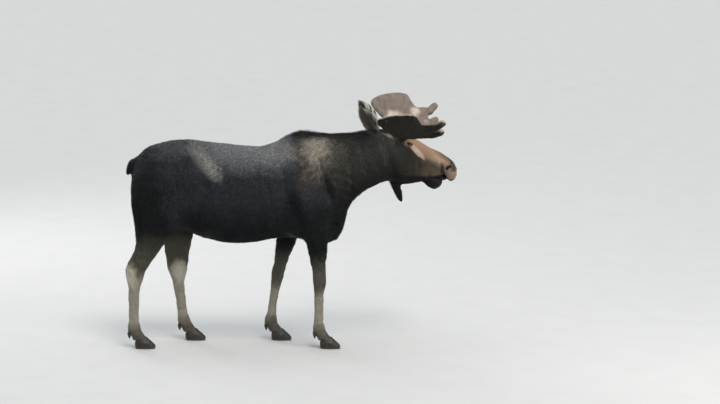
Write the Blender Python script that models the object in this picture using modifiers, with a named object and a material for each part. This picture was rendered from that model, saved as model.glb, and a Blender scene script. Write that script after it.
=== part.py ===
"""A bull moose in velvet, standing still at life size.

+X runs from tail to nose, +Y is the animal's left and +Z is up. Lengths are in metres, and the
hooves stand on z = 0. The flesh is modelled whole, from lofts and muscle masses that are remeshed
into one skin, and is then parted into named pieces by thin cuts.
"""

import math

import bmesh
import bpy
import numpy as np
from mathutils import Matrix, Vector

# Driving sizes.
WITHERS = 1.853          # height of the hump
BACK_LOW = 1.697         # height of the back behind the hump
CROUP = 1.763            # height of the hips
NOSE_X = 1.392           # front of the muzzle
HEAD_YAW = math.radians(3.5)
HEAD_ROLL = math.radians(3.0)
HEAD_PIVOT = Vector((0.80, 0.0, 1.75))
EYE_RADIUS = 0.0195
HOOF_HEIGHT = 0.072
GAP = 0.0006             # kerf between neighbouring pieces
BLEND_PASSES = 150       # smoothing that blends the muscles into the trunk

# Mesh resolution: voxel sizes, and the triangles that are kept.
SKIN_VOXEL = 0.009
ANTLER_VOXEL = 0.0065
EAR_VOXEL = 0.005
SKIN_TRIANGLES = 3200
ANTLER_TRIANGLES = 500
EAR_TRIANGLES = 240
FLAT_ANGLE = math.radians(1.5)
CUT_MERGE = 0.009        # neighbours closer than this along a cut are merged
ON_CUT = 1e-5            # how close to a cut a point lies in it
FINE_PULL = 0.00002      # how strongly the thinning spares the head

SIDES = {"left": 1, "right": -1}

# Sections of the trunk and neck, from the rump to the poll:
# top x, top z, low x, low z, half width, height share of the widest place, top and low roundness.
TRUNK_ROWS = (
    (-1.338, 1.480, -1.325, 1.200, 0.095, 0.55, 2.0, 2.0),
    (-1.296, 1.600, -1.285, 1.050, 0.168, 0.55, 2.0, 2.0),
    (-1.214, 1.692, -1.200, 1.000, 0.203, 0.56, 1.8, 2.0),
    (-1.060, 1.742, -1.030, 0.985, 0.225, 0.57, 1.7, 2.0),
    (-0.914, CROUP, -0.880, 0.960, 0.238, 0.57, 1.7, 2.1),
    (-0.700, 1.742, -0.700, 0.902, 0.252, 0.52, 1.8, 2.2),
    (-0.464, 1.713, -0.464, 0.866, 0.274, 0.48, 1.9, 2.2),
    (-0.310, BACK_LOW, -0.300, 0.880, 0.281, 0.48, 1.9, 2.2),
    (-0.170, 1.722, -0.150, 0.908, 0.275, 0.47, 1.8, 2.2),
    (-0.035, 1.804, -0.020, 0.918, 0.256, 0.45, 1.55, 2.1),
    (0.100, WITHERS, 0.140, 0.890, 0.236, 0.43, 1.45, 2.0),
    (0.250, 1.828, 0.320, 0.872, 0.220, 0.44, 1.5, 1.8),
    (0.360, 1.820, 0.432, 0.965, 0.205, 0.44, 1.6, 1.7),
    (0.470, 1.819, 0.474, 1.150, 0.187, 0.46, 1.7, 1.7),
    (0.570, 1.832, 0.565, 1.270, 0.171, 0.48, 1.75, 1.8),
    (0.660, 1.846, 0.680, 1.345, 0.160, 0.50, 1.8, 1.9),
    (0.750, 1.845, 0.800, 1.402, 0.150, 0.52, 2.0, 2.0),
    (0.820, 1.800, 0.860, 1.440, 0.110, 0.52, 2.0, 2.0),
)

# The skull with the upper jaw, from the nape to the tip of the nose, with the same columns.
SKULL_ROWS = (
    (0.680, 1.815, 0.790, 1.470, 0.100, 0.55, 2.0, 2.0),
    (0.780, 1.836, 0.860, 1.385, 0.128, 0.58, 2.2, 2.0),
    (0.880, 1.812, 0.925, 1.366, 0.131, 0.66, 2.5, 2.0),
    (0.985, 1.776, 0.985, 1.368, 0.120, 0.72, 2.5, 2.0),
    (1.060, 1.742, 1.040, 1.383, 0.100, 0.64, 2.3, 2.5),
    (1.125, 1.702, 1.090, 1.396, 0.088, 0.56, 2.2, 2.8),
    (1.190, 1.664, 1.150, 1.415, 0.082, 0.50, 2.2, 2.8),
    (1.260, 1.632, 1.230, 1.450, 0.086, 0.45, 2.2, 2.5),
    (1.292, 1.610, 1.276, 1.458, 0.093, 0.42, 2.2, 2.5),
    (1.325, 1.586, 1.314, 1.400, 0.098, 0.42, 2.3, 2.5),
    (1.368, 1.545, 1.342, 1.390, 0.090, 0.42, 2.4, 2.5),
    (1.388, 1.500, 1.372, 1.404, 0.066, 0.45, 2.2, 2.2),
    (NOSE_X, 1.475, 1.388, 1.430, 0.030, 0.50, 2.0, 2.0),
)

# The lower jaw, from its angle to the lip.
JAW_ROWS = (
    (0.900, 1.500, 0.885, 1.390, 0.095, 0.50, 2.2, 2.0),
    (1.000, 1.500, 0.995, 1.374, 0.088, 0.55, 2.8, 2.0),
    (1.100, 1.480, 1.095, 1.386, 0.078, 0.55, 2.8, 2.0),
    (1.150, 1.460, 1.145, 1.345, 0.072, 0.55, 2.8, 2.0),
    (1.200, 1.440, 1.200, 1.321, 0.070, 0.58, 2.8, 2.0),
    (1.243, 1.428, 1.245, 1.338, 0.060, 0.62, 2.8, 2.0),
    (1.270, 1.410, 1.268, 1.368, 0.036, 0.50, 2.2, 2.0),
)

# The bell under the throat and the tail, both hanging, with front and back in place of top and low.
BELL_ROWS = (
    (0.945, 1.420, 0.790, 1.450, 0.040, 0.5, 2.0, 2.0),
    (0.925, 1.350, 0.822, 1.385, 0.032, 0.5, 2.0, 2.0),
    (0.930, 1.300, 0.856, 1.305, 0.028, 0.5, 2.0, 2.0),
    (0.940, 1.245, 0.884, 1.250, 0.023, 0.5, 2.0, 2.0),
    (0.935, 1.211, 0.912, 1.214, 0.009, 0.5, 2.0, 2.0),
)
TAIL_ROWS = (
    (-1.255, 1.600, -1.315, 1.618, 0.030, 0.5, 2.0, 2.0),
    (-1.318, 1.548, -1.372, 1.552, 0.030, 0.5, 2.0, 2.0),
    (-1.345, 1.480, -1.392, 1.482, 0.023, 0.5, 2.0, 2.0),
    (-1.362, 1.438, -1.388, 1.438, 0.010, 0.5, 2.0, 2.0),
)

# Joints of each leg as (x, distance from the middle, z): hip, stifle, hock, fetlock and coronet
# behind, and shoulder, elbow, knee, fetlock and coronet in front.
HIND_JOINTS = {
    "right": ((-1.10, 0.13, 1.52), (-0.96, 0.188, 1.13), (-1.315, 0.175, 0.66),
              (-1.325, 0.165, 0.16), (-1.258, 0.165, 0.05)),
    "left": ((-1.06, 0.13, 1.52), (-0.88, 0.188, 1.10), (-0.985, 0.175, 0.63),
             (-0.922, 0.165, 0.16), (-0.852, 0.165, 0.05)),
}
FORE_JOINTS = {
    "right": ((0.33, 0.16, 1.25), (0.205, 0.185, 1.00), (0.235, 0.18, 0.57),
              (0.232, 0.165, 0.155), (0.298, 0.165, 0.05)),
    "left": ((0.20, 0.16, 1.25), (-0.020, 0.185, 0.99), (-0.125, 0.18, 0.57),
             (-0.185, 0.165, 0.155), (-0.120, 0.165, 0.05)),
}

# Leg sections: bone, share along it, reach to the front, reach to the back, half width.
HIND_SECTIONS = (
    (0, 0.00, 0.25, 0.22, 0.100),
    (0, 0.50, 0.19, 0.32, 0.112),
    (1, 0.00, 0.120, 0.370, 0.110),
    (1, 0.25, 0.105, 0.265, 0.092),
    (1, 0.50, 0.095, 0.170, 0.074),
    (1, 0.75, 0.090, 0.122, 0.058),
    (2, 0.00, 0.100, 0.080, 0.055),
    (2, 0.12, 0.082, 0.072, 0.051),
    (2, 0.28, 0.054, 0.054, 0.042),
    (2, 0.50, 0.046, 0.050, 0.036),
    (2, 0.82, 0.044, 0.047, 0.036),
    (3, 0.00, 0.058, 0.056, 0.049),
    (3, 0.50, 0.054, 0.058, 0.046),
    (3, 1.00, 0.070, 0.070, 0.056),
)
FORE_SECTIONS = (
    (0, 0.00, 0.100, 0.250, 0.090),
    (0, 0.60, 0.090, 0.190, 0.090),
    (1, 0.00, 0.118, 0.105, 0.084),
    (1, 0.20, 0.103, 0.090, 0.073),
    (1, 0.45, 0.088, 0.078, 0.060),
    (1, 0.75, 0.064, 0.058, 0.048),
    (2, 0.00, 0.062, 0.056, 0.053),
    (2, 0.12, 0.055, 0.052, 0.049),
    (2, 0.30, 0.042, 0.046, 0.037),
    (2, 0.78, 0.040, 0.045, 0.035),
    (3, 0.00, 0.056, 0.056, 0.049),
    (3, 0.50, 0.054, 0.058, 0.046),
    (3, 1.00, 0.072, 0.070, 0.058),
)

# Muscle and bone masses on each side: centre, radii and turn about Y in degrees.
MASSES = (
    ((0.140, 0.108, 1.380), (0.150, 0.098, 0.310), 14),      # shoulder blade
    ((0.110, 0.158, 1.130), (0.185, 0.110, 0.210), 20),      # triceps
    ((0.350, 0.105, 1.200), (0.110, 0.095, 0.170), 0),       # point of the shoulder
    ((0.320, 0.080, 0.980), (0.090, 0.090, 0.100), 0),       # breast
    ((-0.905, 0.118, 1.590), (0.110, 0.075, 0.110), -20),    # hip bone
    ((-1.120, 0.118, 1.400), (0.190, 0.124, 0.270), 15),     # thigh
    ((0.950, 0.078, 1.748), (0.060, 0.040, 0.030), 25),      # brow
    ((0.885, 0.070, 1.780), (0.048, 0.050, 0.036), 25),      # pedicle
    ((0.705, 0.068, 1.790), (0.050, 0.050, 0.062), -20),     # root of the ear
    ((1.020, 0.060, 1.610), (0.130, 0.036, 0.040), 28),      # cheek ridge
    ((0.900, 0.070, 1.520), (0.120, 0.055, 0.120), 10),      # cheek
)

# The palm of an antler: x, inner and outer edge measured outwards up its slope, half thickness.
PALM_ROWS = (
    (0.690, 0.290, 0.330, 0.012),
    (0.725, 0.235, 0.362, 0.020),
    (0.790, 0.140, 0.395, 0.022),
    (0.860, 0.045, 0.412, 0.024),
    (0.940, -0.010, 0.415, 0.026),
    (1.000, -0.010, 0.402, 0.026),
    (1.035, -0.005, 0.335, 0.026),
    (1.065, 0.000, 0.270, 0.026),
    (1.105, 0.005, 0.252, 0.026),
    (1.150, 0.015, 0.252, 0.024),
    (1.170, 0.035, 0.230, 0.016),
)
# Tines as (x, outwards, off the palm, radius): the beam, then the two prongs of the brow palm.
TINES = (
    ((0.880, -0.105, 0.034, 0.036), (0.895, -0.046, 0.019, 0.034), (0.920, 0.010, -0.001, 0.036),
     (0.955, 0.087, -0.010, 0.024)),
    ((1.090, 0.170, 0.000, 0.030), (1.150, 0.195, -0.006, 0.037), (1.200, 0.228, -0.012, 0.035),
     (1.238, 0.278, -0.018, 0.027)),
    ((1.080, 0.055, 0.000, 0.030), (1.150, 0.066, -0.008, 0.037), (1.200, 0.088, -0.018, 0.034),
     (1.234, 0.126, -0.026, 0.027)),
)
RIM_KNOBS = ((0.765, 0.358), (0.875, 0.378), (0.985, 0.372))
PALM_SLOPE = math.radians(36)
PALM_ROOT = (0.170, 1.785)       # distance from the middle and height of the palm's inner edge
PALM_CUP = 0.55                  # how strongly the palm is hollowed

EAR_ROOT = (0.705, 0.082, 1.800)
EAR_TIP = (0.570, 0.200, 2.042)
EAR_OPEN = (0.45, 0.85, -0.15)
EAR_HALF = 0.106                 # half the ear's width, measured round its curve
EAR_THICK = 0.012
EAR_CURLS = (150, 58)            # half the ear's curl at its root and at its tip, in degrees
EAR_POINT = 0.038                # share of the width that is left at the tip
EAR_BASE_RADIUS = 0.031
EAR_ALONG, EAR_AROUND = 24, 16   # faces along the ear and round it

# One toe's level sections: height, reach to the front and back of the coronet's middle, half width.
TOE_SECTIONS = (
    (0.000, 0.118, 0.050, 0.0285),
    (0.022, 0.110, 0.056, 0.0290),
    (0.048, 0.084, 0.058, 0.0280),
    (HOOF_HEIGHT - GAP, 0.058, 0.056, 0.0260),
)
TOE_OFFSET = 0.0305              # from the foot's middle to the toe's
TOE_SPLAY = math.radians(4)
DEWCLAW_BACK = 0.046             # behind the fetlock
DEWCLAW_OUT = 0.026
DEWCLAW_HEIGHT = 0.118
DEWCLAW_RADII = (0.018, 0.014, 0.028)
EYE_PLACE = (0.987, 0.100, 1.722)
NOSTRIL_PLACE = (1.292, 0.098, 1.505)
NOSTRIL_RADII = (0.024, 0.018, 0.014)
ANTLER_CUT_OUT = 0.128           # where the antler leaves the pedicle
ANTLER_CUT_LOW = 1.735
EAR_CUT = 1.846

# Colour and roughness of the pieces by the start of their names.
COLOURS = (
    ("antler", (0.20, 0.14, 0.10), 0.85),
    ("hoof", (0.03, 0.025, 0.02), 0.45),
    ("dewclaw", (0.03, 0.025, 0.02), 0.45),
    ("eye", (0.02, 0.012, 0.008), 0.1),
    ("head", (0.12, 0.08, 0.055), 0.7),
    ("hindleg", (0.10, 0.09, 0.07), 0.75),
    ("", (0.02, 0.018, 0.016), 0.65),
)


def clear_scene():
    for obj in list(bpy.data.objects):
        bpy.data.objects.remove(obj)
    for name in ("bull_moose", "cutters"):
        made = bpy.data.collections.new(name)
        bpy.context.scene.collection.children.link(made)


def add_object(name, mesh, collection="bull_moose"):
    made = bpy.data.objects.new(name, mesh)
    bpy.data.collections[collection].objects.link(made)
    return made


def mesh_from(bm, name):
    mesh = bpy.data.meshes.new(name)
    bm.to_mesh(mesh)
    bm.free()
    return mesh


def baked(obj):
    """Puts the object's evaluated mesh in place of its modifiers."""
    graph = bpy.context.evaluated_depsgraph_get()
    graph.update()
    mesh = bpy.data.meshes.new_from_object(obj.evaluated_get(graph))
    old = obj.data
    obj.modifiers.clear()
    obj.data = mesh
    bpy.data.meshes.remove(old)
    return obj


def smooth_rows(rows, count):
    """Rows on a smooth curve through the given ones, with no overshoot between them."""
    rows = np.array(rows, float)
    middle = (rows[:, 0:2] + rows[:, 2:4]) / 2
    steps = np.linalg.norm(np.diff(middle, axis=0), axis=1)
    at = np.concatenate([[0], np.cumsum(steps)])
    slope = np.diff(rows, axis=0) / steps[:, None]
    tangent = np.zeros_like(rows)
    tangent[0], tangent[-1] = slope[0], slope[-1]
    before, after = slope[:-1], slope[1:]
    same = before * after > 0
    total = np.where(same, before + after, 1)
    tangent[1:-1] = np.where(same, 2 * before * after / total, 0)
    places = np.linspace(0, at[-1], count)
    left = np.clip(np.searchsorted(at, places, side="right") - 1, 0, len(at) - 2)
    width = steps[left][:, None]
    t = ((places - at[left]) / steps[left])[:, None]
    return (
        (2 * t**3 - 3 * t**2 + 1) * rows[left]
        + (t**3 - 2 * t**2 + t) * width * tangent[left]
        + (3 * t**2 - 2 * t**3) * rows[left + 1]
        + (t**3 - t**2) * width * tangent[left + 1]
    )


def bridge(bm, rings):
    """Skins a list of equal rings of points and closes both ends."""
    loops = [[bm.verts.new(point) for point in ring] for ring in rings]
    around = len(loops[0])
    for first, second in zip(loops, loops[1:]):
        for k in range(around):
            n = (k + 1) % around
            bm.faces.new((first[k], first[n], second[n], second[k]))
    bm.faces.new(loops[0])
    bm.faces.new(reversed(loops[-1]))


def section(row, middle_y, around=40):
    """One ring: a rounded shape between a top and a low point, widest at a share of its height."""
    top_x, top_z, low_x, low_z, half, wide, top_power, low_power = row
    low = Vector((low_x, middle_y, low_z))
    rise = Vector((top_x, middle_y, top_z)) - low
    ring = []
    for k in range(around):
        turn = 2 * math.pi * k / around
        up, out = math.cos(turn), math.sin(turn)
        power = top_power if up > 0 else low_power
        height = math.copysign(abs(up) ** (2 / power), up)
        reach = math.copysign(abs(out) ** (2 / power), out)
        share = wide + height * ((1 - wide) if up > 0 else wide)
        ring.append(low + rise * share + Vector((0, half * reach, 0)))
    return ring


def head_shift(x):
    """Sideways place of the head's middle line, which turns a little to the left."""
    return math.tan(HEAD_YAW) * max(0, x - HEAD_PIVOT.x)


def loft(bm, rows, count):
    full = smooth_rows(rows, count)
    part = bmesh.new()
    bridge(part, [section(row, head_shift((row[0] + row[2]) / 2)) for row in full])
    bmesh.ops.recalc_face_normals(part, faces=part.faces)
    add_to(bm, part)


def add_to(bm, part):
    mesh = mesh_from(part, "part")
    bm.from_mesh(mesh)
    bpy.data.meshes.remove(mesh)


def leg(bm, joints, sections, side, count=56):
    """One leg as a loft of level sections down its joints."""
    places = [Vector((x, side * y, z)) for x, y, z in joints]
    rows = []
    for bone, share, front, back, half in sections:
        spot = places[bone].lerp(places[bone + 1], share)
        rows.append((spot.x + front, spot.z, spot.x - back, spot.z, half, 0.5, 2.1, 2.1, spot.y))
    rings = []
    for row in smooth_rows(rows, count):
        rings.append(section(row[:8], row[8]))
    part = bmesh.new()
    bridge(part, rings)
    bmesh.ops.recalc_face_normals(part, faces=part.faces)
    add_to(bm, part)


def mass(bm, centre, radii, turn):
    """A muscle or bone mass: a sphere stretched to three radii and turned about Y."""
    x, y, z = centre
    place = Matrix.Translation((x, y + head_shift(x), z))
    shape = place @ Matrix.Rotation(math.radians(turn), 4, "Y") @ Matrix.Diagonal((*radii, 1))
    bmesh.ops.create_uvsphere(bm, u_segments=24, v_segments=16, radius=1, matrix=shape)


def remeshed(obj, voxel, passes):
    """One closed skin round all of an object's shapes, a little smoothed."""
    remesh = obj.modifiers.new("one_skin", "REMESH")
    remesh.mode = "VOXEL"
    remesh.voxel_size = voxel
    soften = obj.modifiers.new("soften", "SMOOTH")
    soften.factor = 0.5
    soften.iterations = passes
    return baked(obj)


def thinned(obj, triangles):
    """Thins an object to about a number of triangles."""
    obj.data.calc_loop_triangles()
    thin = obj.modifiers.new("thin", "DECIMATE")
    thin.ratio = triangles / len(obj.data.loop_triangles)
    if "coarse" in obj.vertex_groups:
        thin.vertex_group = "coarse"
        thin.vertex_group_factor = FINE_PULL
    return baked(obj)


def weigh(obj, name, weight_of):
    """A vertex group whose weights follow a function of the place."""
    group = obj.vertex_groups.new(name=name)
    for vertex in obj.data.vertices:
        group.add([vertex.index], weight_of(vertex.co), "REPLACE")


def between(value, low, high):
    """0 below low, 1 above high and a smooth rise between them."""
    t = min(1, max(0, (value - low) / (high - low)))
    return t * t * (3 - 2 * t)


def is_trunk(place):
    """1 on the trunk and upper neck, falling to 0 on the head, the lower legs and the tail."""
    body = 1 - between(place.x, 0.62, 0.84)
    legs = between(place.z, 0.78, 0.98)
    tail = between(place.x, -1.35, -1.31)
    return body * legs * max(tail, 1 - between(place.z, 1.35, 1.42))


def make_flesh():
    bm = bmesh.new()
    loft(bm, TRUNK_ROWS, 90)
    loft(bm, SKULL_ROWS, 60)
    loft(bm, JAW_ROWS, 30)
    loft(bm, BELL_ROWS, 24)
    loft(bm, TAIL_ROWS, 16)
    for name, side in SIDES.items():
        leg(bm, HIND_JOINTS[name], HIND_SECTIONS, side)
        leg(bm, FORE_JOINTS[name], FORE_SECTIONS, side)
        for (x, y, z), radii, turn in MASSES:
            mass(bm, (x, side * y, z), radii, turn)
    flesh = remeshed(add_object("flesh", mesh_from(bm, "flesh")), SKIN_VOXEL, 5)
    weigh(flesh, "blend", is_trunk)
    blend = flesh.modifiers.new("blend", "SMOOTH")
    blend.factor = 0.5
    blend.iterations = BLEND_PASSES
    blend.vertex_group = "blend"
    baked(flesh)
    weigh(flesh, "coarse", lambda place: 1 - 0.9 * between(place.x, 0.70, 0.95))
    return thinned(flesh, SKIN_TRIANGLES)


def half_space_region(name, planes, grow=0.0):
    """A closed block: what lies behind every plane, each given as a point and an outward way."""
    bm = bmesh.new()
    bmesh.ops.create_cube(bm, size=6)
    for point, way in planes:
        out = Vector(way).normalized()
        cut = bmesh.ops.bisect_plane(
            bm, geom=bm.verts[:] + bm.edges[:] + bm.faces[:],
            plane_co=Vector(point) + out * grow, plane_no=out, clear_outer=True)
        edges = [item for item in cut["geom_cut"] if isinstance(item, bmesh.types.BMEdge)]
        bmesh.ops.edgenet_fill(bm, edges=edges)
    bmesh.ops.recalc_face_normals(bm, faces=bm.faces)
    block = add_object(name, mesh_from(bm, name), "cutters")
    block.hide_render = True
    block.display_type = "WIRE"
    return block


def plane_through(first, second, third):
    """A plane through three points, facing up."""
    way = (Vector(second) - Vector(first)).cross(Vector(third) - Vector(first)).normalized()
    return first, way if way.z > 0 else -way


def boolean(obj, other, operation):
    cut = obj.modifiers.new("cut", "BOOLEAN")
    cut.operation = operation
    cut.object = other
    cut.solver = "EXACT"
    return baked(obj)


def thin_cut_edges(obj, planes, grow):
    """Merges the close neighbours along each cut, which stay in the plane of the cut."""
    bm = bmesh.new()
    bm.from_mesh(obj.data)
    cuts = [(Vector(way).normalized(), Vector(point)) for point, way in planes]
    on_cuts = [[], []]
    for vert in bm.verts:
        on = [k for k, (out, point) in enumerate(cuts)
              if abs(out.dot(vert.co - point) - grow) < ON_CUT]
        if len(on) == 1:
            on_cuts[0].append(vert)
            on_cuts[1].append(on[0])
    for k in range(len(cuts)):
        near = [vert for vert, cut in zip(*on_cuts) if cut == k]
        bmesh.ops.remove_doubles(bm, verts=near, dist=CUT_MERGE)
    bmesh.ops.dissolve_degenerate(bm, edges=bm.edges, dist=ON_CUT)
    bm.to_mesh(obj.data)
    bm.free()


def part_off(flesh, name, planes):
    """Takes the block of flesh behind the planes away as a piece of its own, across a thin kerf."""
    piece = add_object(name, flesh.data.copy())
    inside = half_space_region(name + "_block", planes)
    outside = half_space_region(name + "_kerf", planes, GAP)
    boolean(piece, inside, "INTERSECT")
    boolean(flesh, outside, "DIFFERENCE")
    thin_cut_edges(piece, planes, 0)
    thin_cut_edges(flesh, planes, GAP)
    bpy.data.objects.remove(inside)
    bpy.data.objects.remove(outside)
    return piece


def stem(bm, points, radii):
    """A tapering round stem along a smooth curve through a few points."""
    curve = bpy.data.curves.new("stem", "CURVE")
    curve.dimensions = "3D"
    curve.bevel_depth = 1
    curve.bevel_resolution = 4
    curve.resolution_u = 8
    curve.use_fill_caps = True
    line = curve.splines.new("NURBS")
    line.points.add(len(points) - 1)
    for spot, point, radius in zip(line.points, points, radii):
        spot.co = (*point, 1)
        spot.radius = radius
    line.use_endpoint_u = True
    line.order_u = 3
    obj = add_object("stem", curve, "cutters")
    graph = bpy.context.evaluated_depsgraph_get()
    mesh = bpy.data.meshes.new_from_object(obj.evaluated_get(graph))
    bm.from_mesh(mesh)
    for point, radius in ((points[0], radii[0]), (points[-1], radii[-1])):
        bmesh.ops.create_uvsphere(bm, u_segments=16, v_segments=10, radius=radius,
                                  matrix=Matrix.Translation(point))
    bpy.data.objects.remove(obj)
    bpy.data.meshes.remove(mesh)


def head_turn():
    """The head's small turn and roll about its pivot."""
    there = Matrix.Translation(HEAD_PIVOT)
    roll = Matrix.Rotation(HEAD_ROLL, 4, "X")
    return there @ Matrix.Rotation(HEAD_YAW, 4, "Z") @ roll @ there.inverted()


def on_antler(x, out, lift, side):
    """A place on an antler: along the head, outwards up the palm's slope, and off the palm."""
    lift += PALM_CUP * (out - 0.18) ** 2 * (1 if out > 0.18 else 0.4) + 0.25 * (x - 0.9) ** 2
    y = PALM_ROOT[0] + out * math.cos(PALM_SLOPE) - lift * math.sin(PALM_SLOPE)
    z = PALM_ROOT[1] + out * math.sin(PALM_SLOPE) + lift * math.cos(PALM_SLOPE)
    return head_turn() @ Vector((x, side * y, z))


def palm_ring(row, side, around=40):
    x, inner, outer, thick = row
    ring = []
    for k in range(around):
        turn = 2 * math.pi * k / around
        out = math.copysign(abs(math.cos(turn)) ** 0.75, math.cos(turn))
        lift = math.copysign(abs(math.sin(turn)) ** 0.75, math.sin(turn))
        middle, half = (inner + outer) / 2, (outer - inner) / 2
        ring.append(on_antler(x, middle + half * out, thick * lift, side))
    return ring


def smooth_palm(count=40):
    """The palm's rows on a smooth curve, in the row order of smooth_rows and back."""
    rows = [(x, 0, x, 0, inner, outer, thick) for x, inner, outer, thick in PALM_ROWS]
    return [(row[0], row[4], row[5], row[6]) for row in smooth_rows(rows, count)]


def make_antler(name, side):
    bm = bmesh.new()
    part = bmesh.new()
    bridge(part, [palm_ring(row, side) for row in smooth_palm()])
    bmesh.ops.recalc_face_normals(part, faces=part.faces)
    add_to(bm, part)
    for x, out in RIM_KNOBS:
        stem(bm, (on_antler(x, out - 0.06, 0, side), on_antler(x, out, 0, side)), (0.026, 0.024))
    for tine in TINES:
        stem(bm, [on_antler(x, out, lift, side) for x, out, lift, _ in tine],
             [radius for _, _, _, radius in tine])
    return thinned(remeshed(add_object(name, mesh_from(bm, name)), ANTLER_VOXEL, 4), ANTLER_TRIANGLES)


def make_ear(name, side):
    """A cupped leaf, open outwards and forwards, on a round root."""
    root = Vector((EAR_ROOT[0], side * EAR_ROOT[1], EAR_ROOT[2]))
    tip = Vector((EAR_TIP[0], side * EAR_TIP[1], EAR_TIP[2]))
    along = (tip - root).normalized()
    open_way = Vector((EAR_OPEN[0], side * EAR_OPEN[1], EAR_OPEN[2]))
    open_way = (open_way - along * open_way.dot(along)).normalized()
    across = along.cross(open_way)
    length = (tip - root).length
    bm = bmesh.new()
    grid = []
    for i in range(EAR_ALONG + 1):
        u = i / EAR_ALONG
        width = math.sin(math.pi * (0.14 + 0.86 * u)) ** 0.8 if i < EAR_ALONG else EAR_POINT
        curl = math.radians(EAR_CURLS[0] + (EAR_CURLS[1] - EAR_CURLS[0]) * u)
        radius = EAR_HALF * width / curl
        row = []
        for k in range(EAR_AROUND + 1):
            turn = curl * (2 * k / EAR_AROUND - 1)
            spot = root + along * length * u + across * radius * math.sin(turn)
            row.append(bm.verts.new(spot + open_way * radius * (1 - math.cos(turn))))
        grid.append(row)
    for low, high in zip(grid, grid[1:]):
        for k in range(EAR_AROUND):
            bm.faces.new((low[k], low[k + 1], high[k + 1], high[k]))
    obj = add_object(name, mesh_from(bm, name))
    shell = obj.modifiers.new("thickness", "SOLIDIFY")
    shell.thickness = EAR_THICK
    shell.offset = 0
    baked(obj)
    bm = bmesh.new()
    bm.from_mesh(obj.data)
    place = Matrix.Translation(root + along * 0.012 + open_way * 0.012)
    bmesh.ops.create_uvsphere(bm, u_segments=20, v_segments=12, radius=EAR_BASE_RADIUS,
                              matrix=place)
    obj.data = mesh_from(bm, name)
    return thinned(remeshed(obj, EAR_VOXEL, 2), EAR_TRIANGLES)


def ball(name, centre, radii, segments, rings, collection="bull_moose"):
    bm = bmesh.new()
    place = Matrix.Translation(centre) @ Matrix.Diagonal((*radii, 1))
    bmesh.ops.create_uvsphere(bm, u_segments=segments, v_segments=rings, radius=1, matrix=place)
    made = add_object(name, mesh_from(bm, name), collection)
    made.hide_render = collection == "cutters"
    return made


def seat(flesh, name, centre, radii, segments, rings):
    """A rounded piece in a socket of the flesh that clears it by the gap."""
    socket = ball("socket", centre, [r + GAP for r in radii], segments, rings, "cutters")
    boolean(flesh, socket, "DIFFERENCE")
    bpy.data.objects.remove(socket)
    return ball(name, centre, radii, segments, rings)


def make_hoof(name, centre_x, centre_y, side):
    """One toe: level sections from the sole to the coronet, pointed in front."""
    bm = bmesh.new()
    rings = []
    for height, front, back, half in TOE_SECTIONS:
        row = (centre_x + front, height, centre_x - back, height, half, 0.42, 1.65, 2.4)
        rings.append(section(row, centre_y + side * TOE_OFFSET, 16))
    bridge(bm, rings)
    bmesh.ops.recalc_face_normals(bm, faces=bm.faces)
    turn = Matrix.Rotation(side * TOE_SPLAY, 3, "Z")
    bmesh.ops.rotate(bm, cent=(centre_x, centre_y, 0), matrix=turn, verts=bm.verts)
    return add_object(name, mesh_from(bm, name))


def make_feet(flesh):
    """Trims the flesh above the hooves, then adds two toes and two dewclaws to each foot."""
    ground = half_space_region("ground", [((0, 0, HOOF_HEIGHT), (0, 0, 1))])
    boolean(flesh, ground, "DIFFERENCE")
    bpy.data.objects.remove(ground)
    for name, side in SIDES.items():
        for leg_name, joints in (("hind", HIND_JOINTS), ("fore", FORE_JOINTS)):
            fetlock = joints[name][3]
            x, y, _ = joints[name][4]
            for toe, way in (("outer", 1), ("inner", -1)):
                make_hoof(f"hoof_{leg_name}_{name}_{toe}", x, side * y, side * way)
                spot = (fetlock[0] - DEWCLAW_BACK, side * (fetlock[1] + way * DEWCLAW_OUT),
                        DEWCLAW_HEIGHT)
                seat(flesh, f"dewclaw_{leg_name}_{name}_{toe}", spot, DEWCLAW_RADII, 8, 6)


def part_head(flesh):
    """Parts the antlers, ears, bell, jaw, head, neck and tail from the trunk."""
    for name, side in SIDES.items():
        antler = part_off(flesh, f"antler_{name}_beam", (
            ((0, side * ANTLER_CUT_OUT, 0), (0, -side, 0)),
            ((0, 0, ANTLER_CUT_LOW), (0, 0, -1)),
            ((0.80, side * ANTLER_CUT_OUT, 0), (-0.743, -0.669 * side, 0)),
        ))
        part_antler(antler, name, side)
        part_off(flesh, f"ear_{name}", (
            ((0, side * 0.03, 0), (0, -side, 0)),
            ((0, 0, EAR_CUT), (0, 0, -1)),
        ))
    part_off(flesh, "bell", (
        ((0.790, 0, 1.396), (0.276, 0, 0.961)),
        ((0.805, 0, 0), (-1, 0, 0)),
        ((0.958, 0, 0), (1, 0, 0)),
        ((0, 0, 1.1), (0, 0, -1)),
    ))
    part_off(flesh, "lower_jaw", (
        ((0.960, 0, 1.466), (0.055, 0, 0.998)),
        ((0.960, 0, 0), (-1, 0, 0)),
        ((1.287, 0, 1.445), (1, 0, 0.07)),
    ))
    part_off(flesh, "head", (((0.600, 0, 1.95), (-0.952, 0, -0.307)),))
    part_off(flesh, "neck", (((0.280, 0, 1.90), (-0.976, 0, -0.218)),))
    part_off(flesh, "tail", (
        ((-1.290, 0, 1.60), (0.94, 0, -0.343)),
        ((0, 0.042, 0), (0, 1, 0)),
        ((0, -0.042, 0), (0, -1, 0)),
        ((0, 0, 1.41), (0, 0, -1)),
    ))


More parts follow.
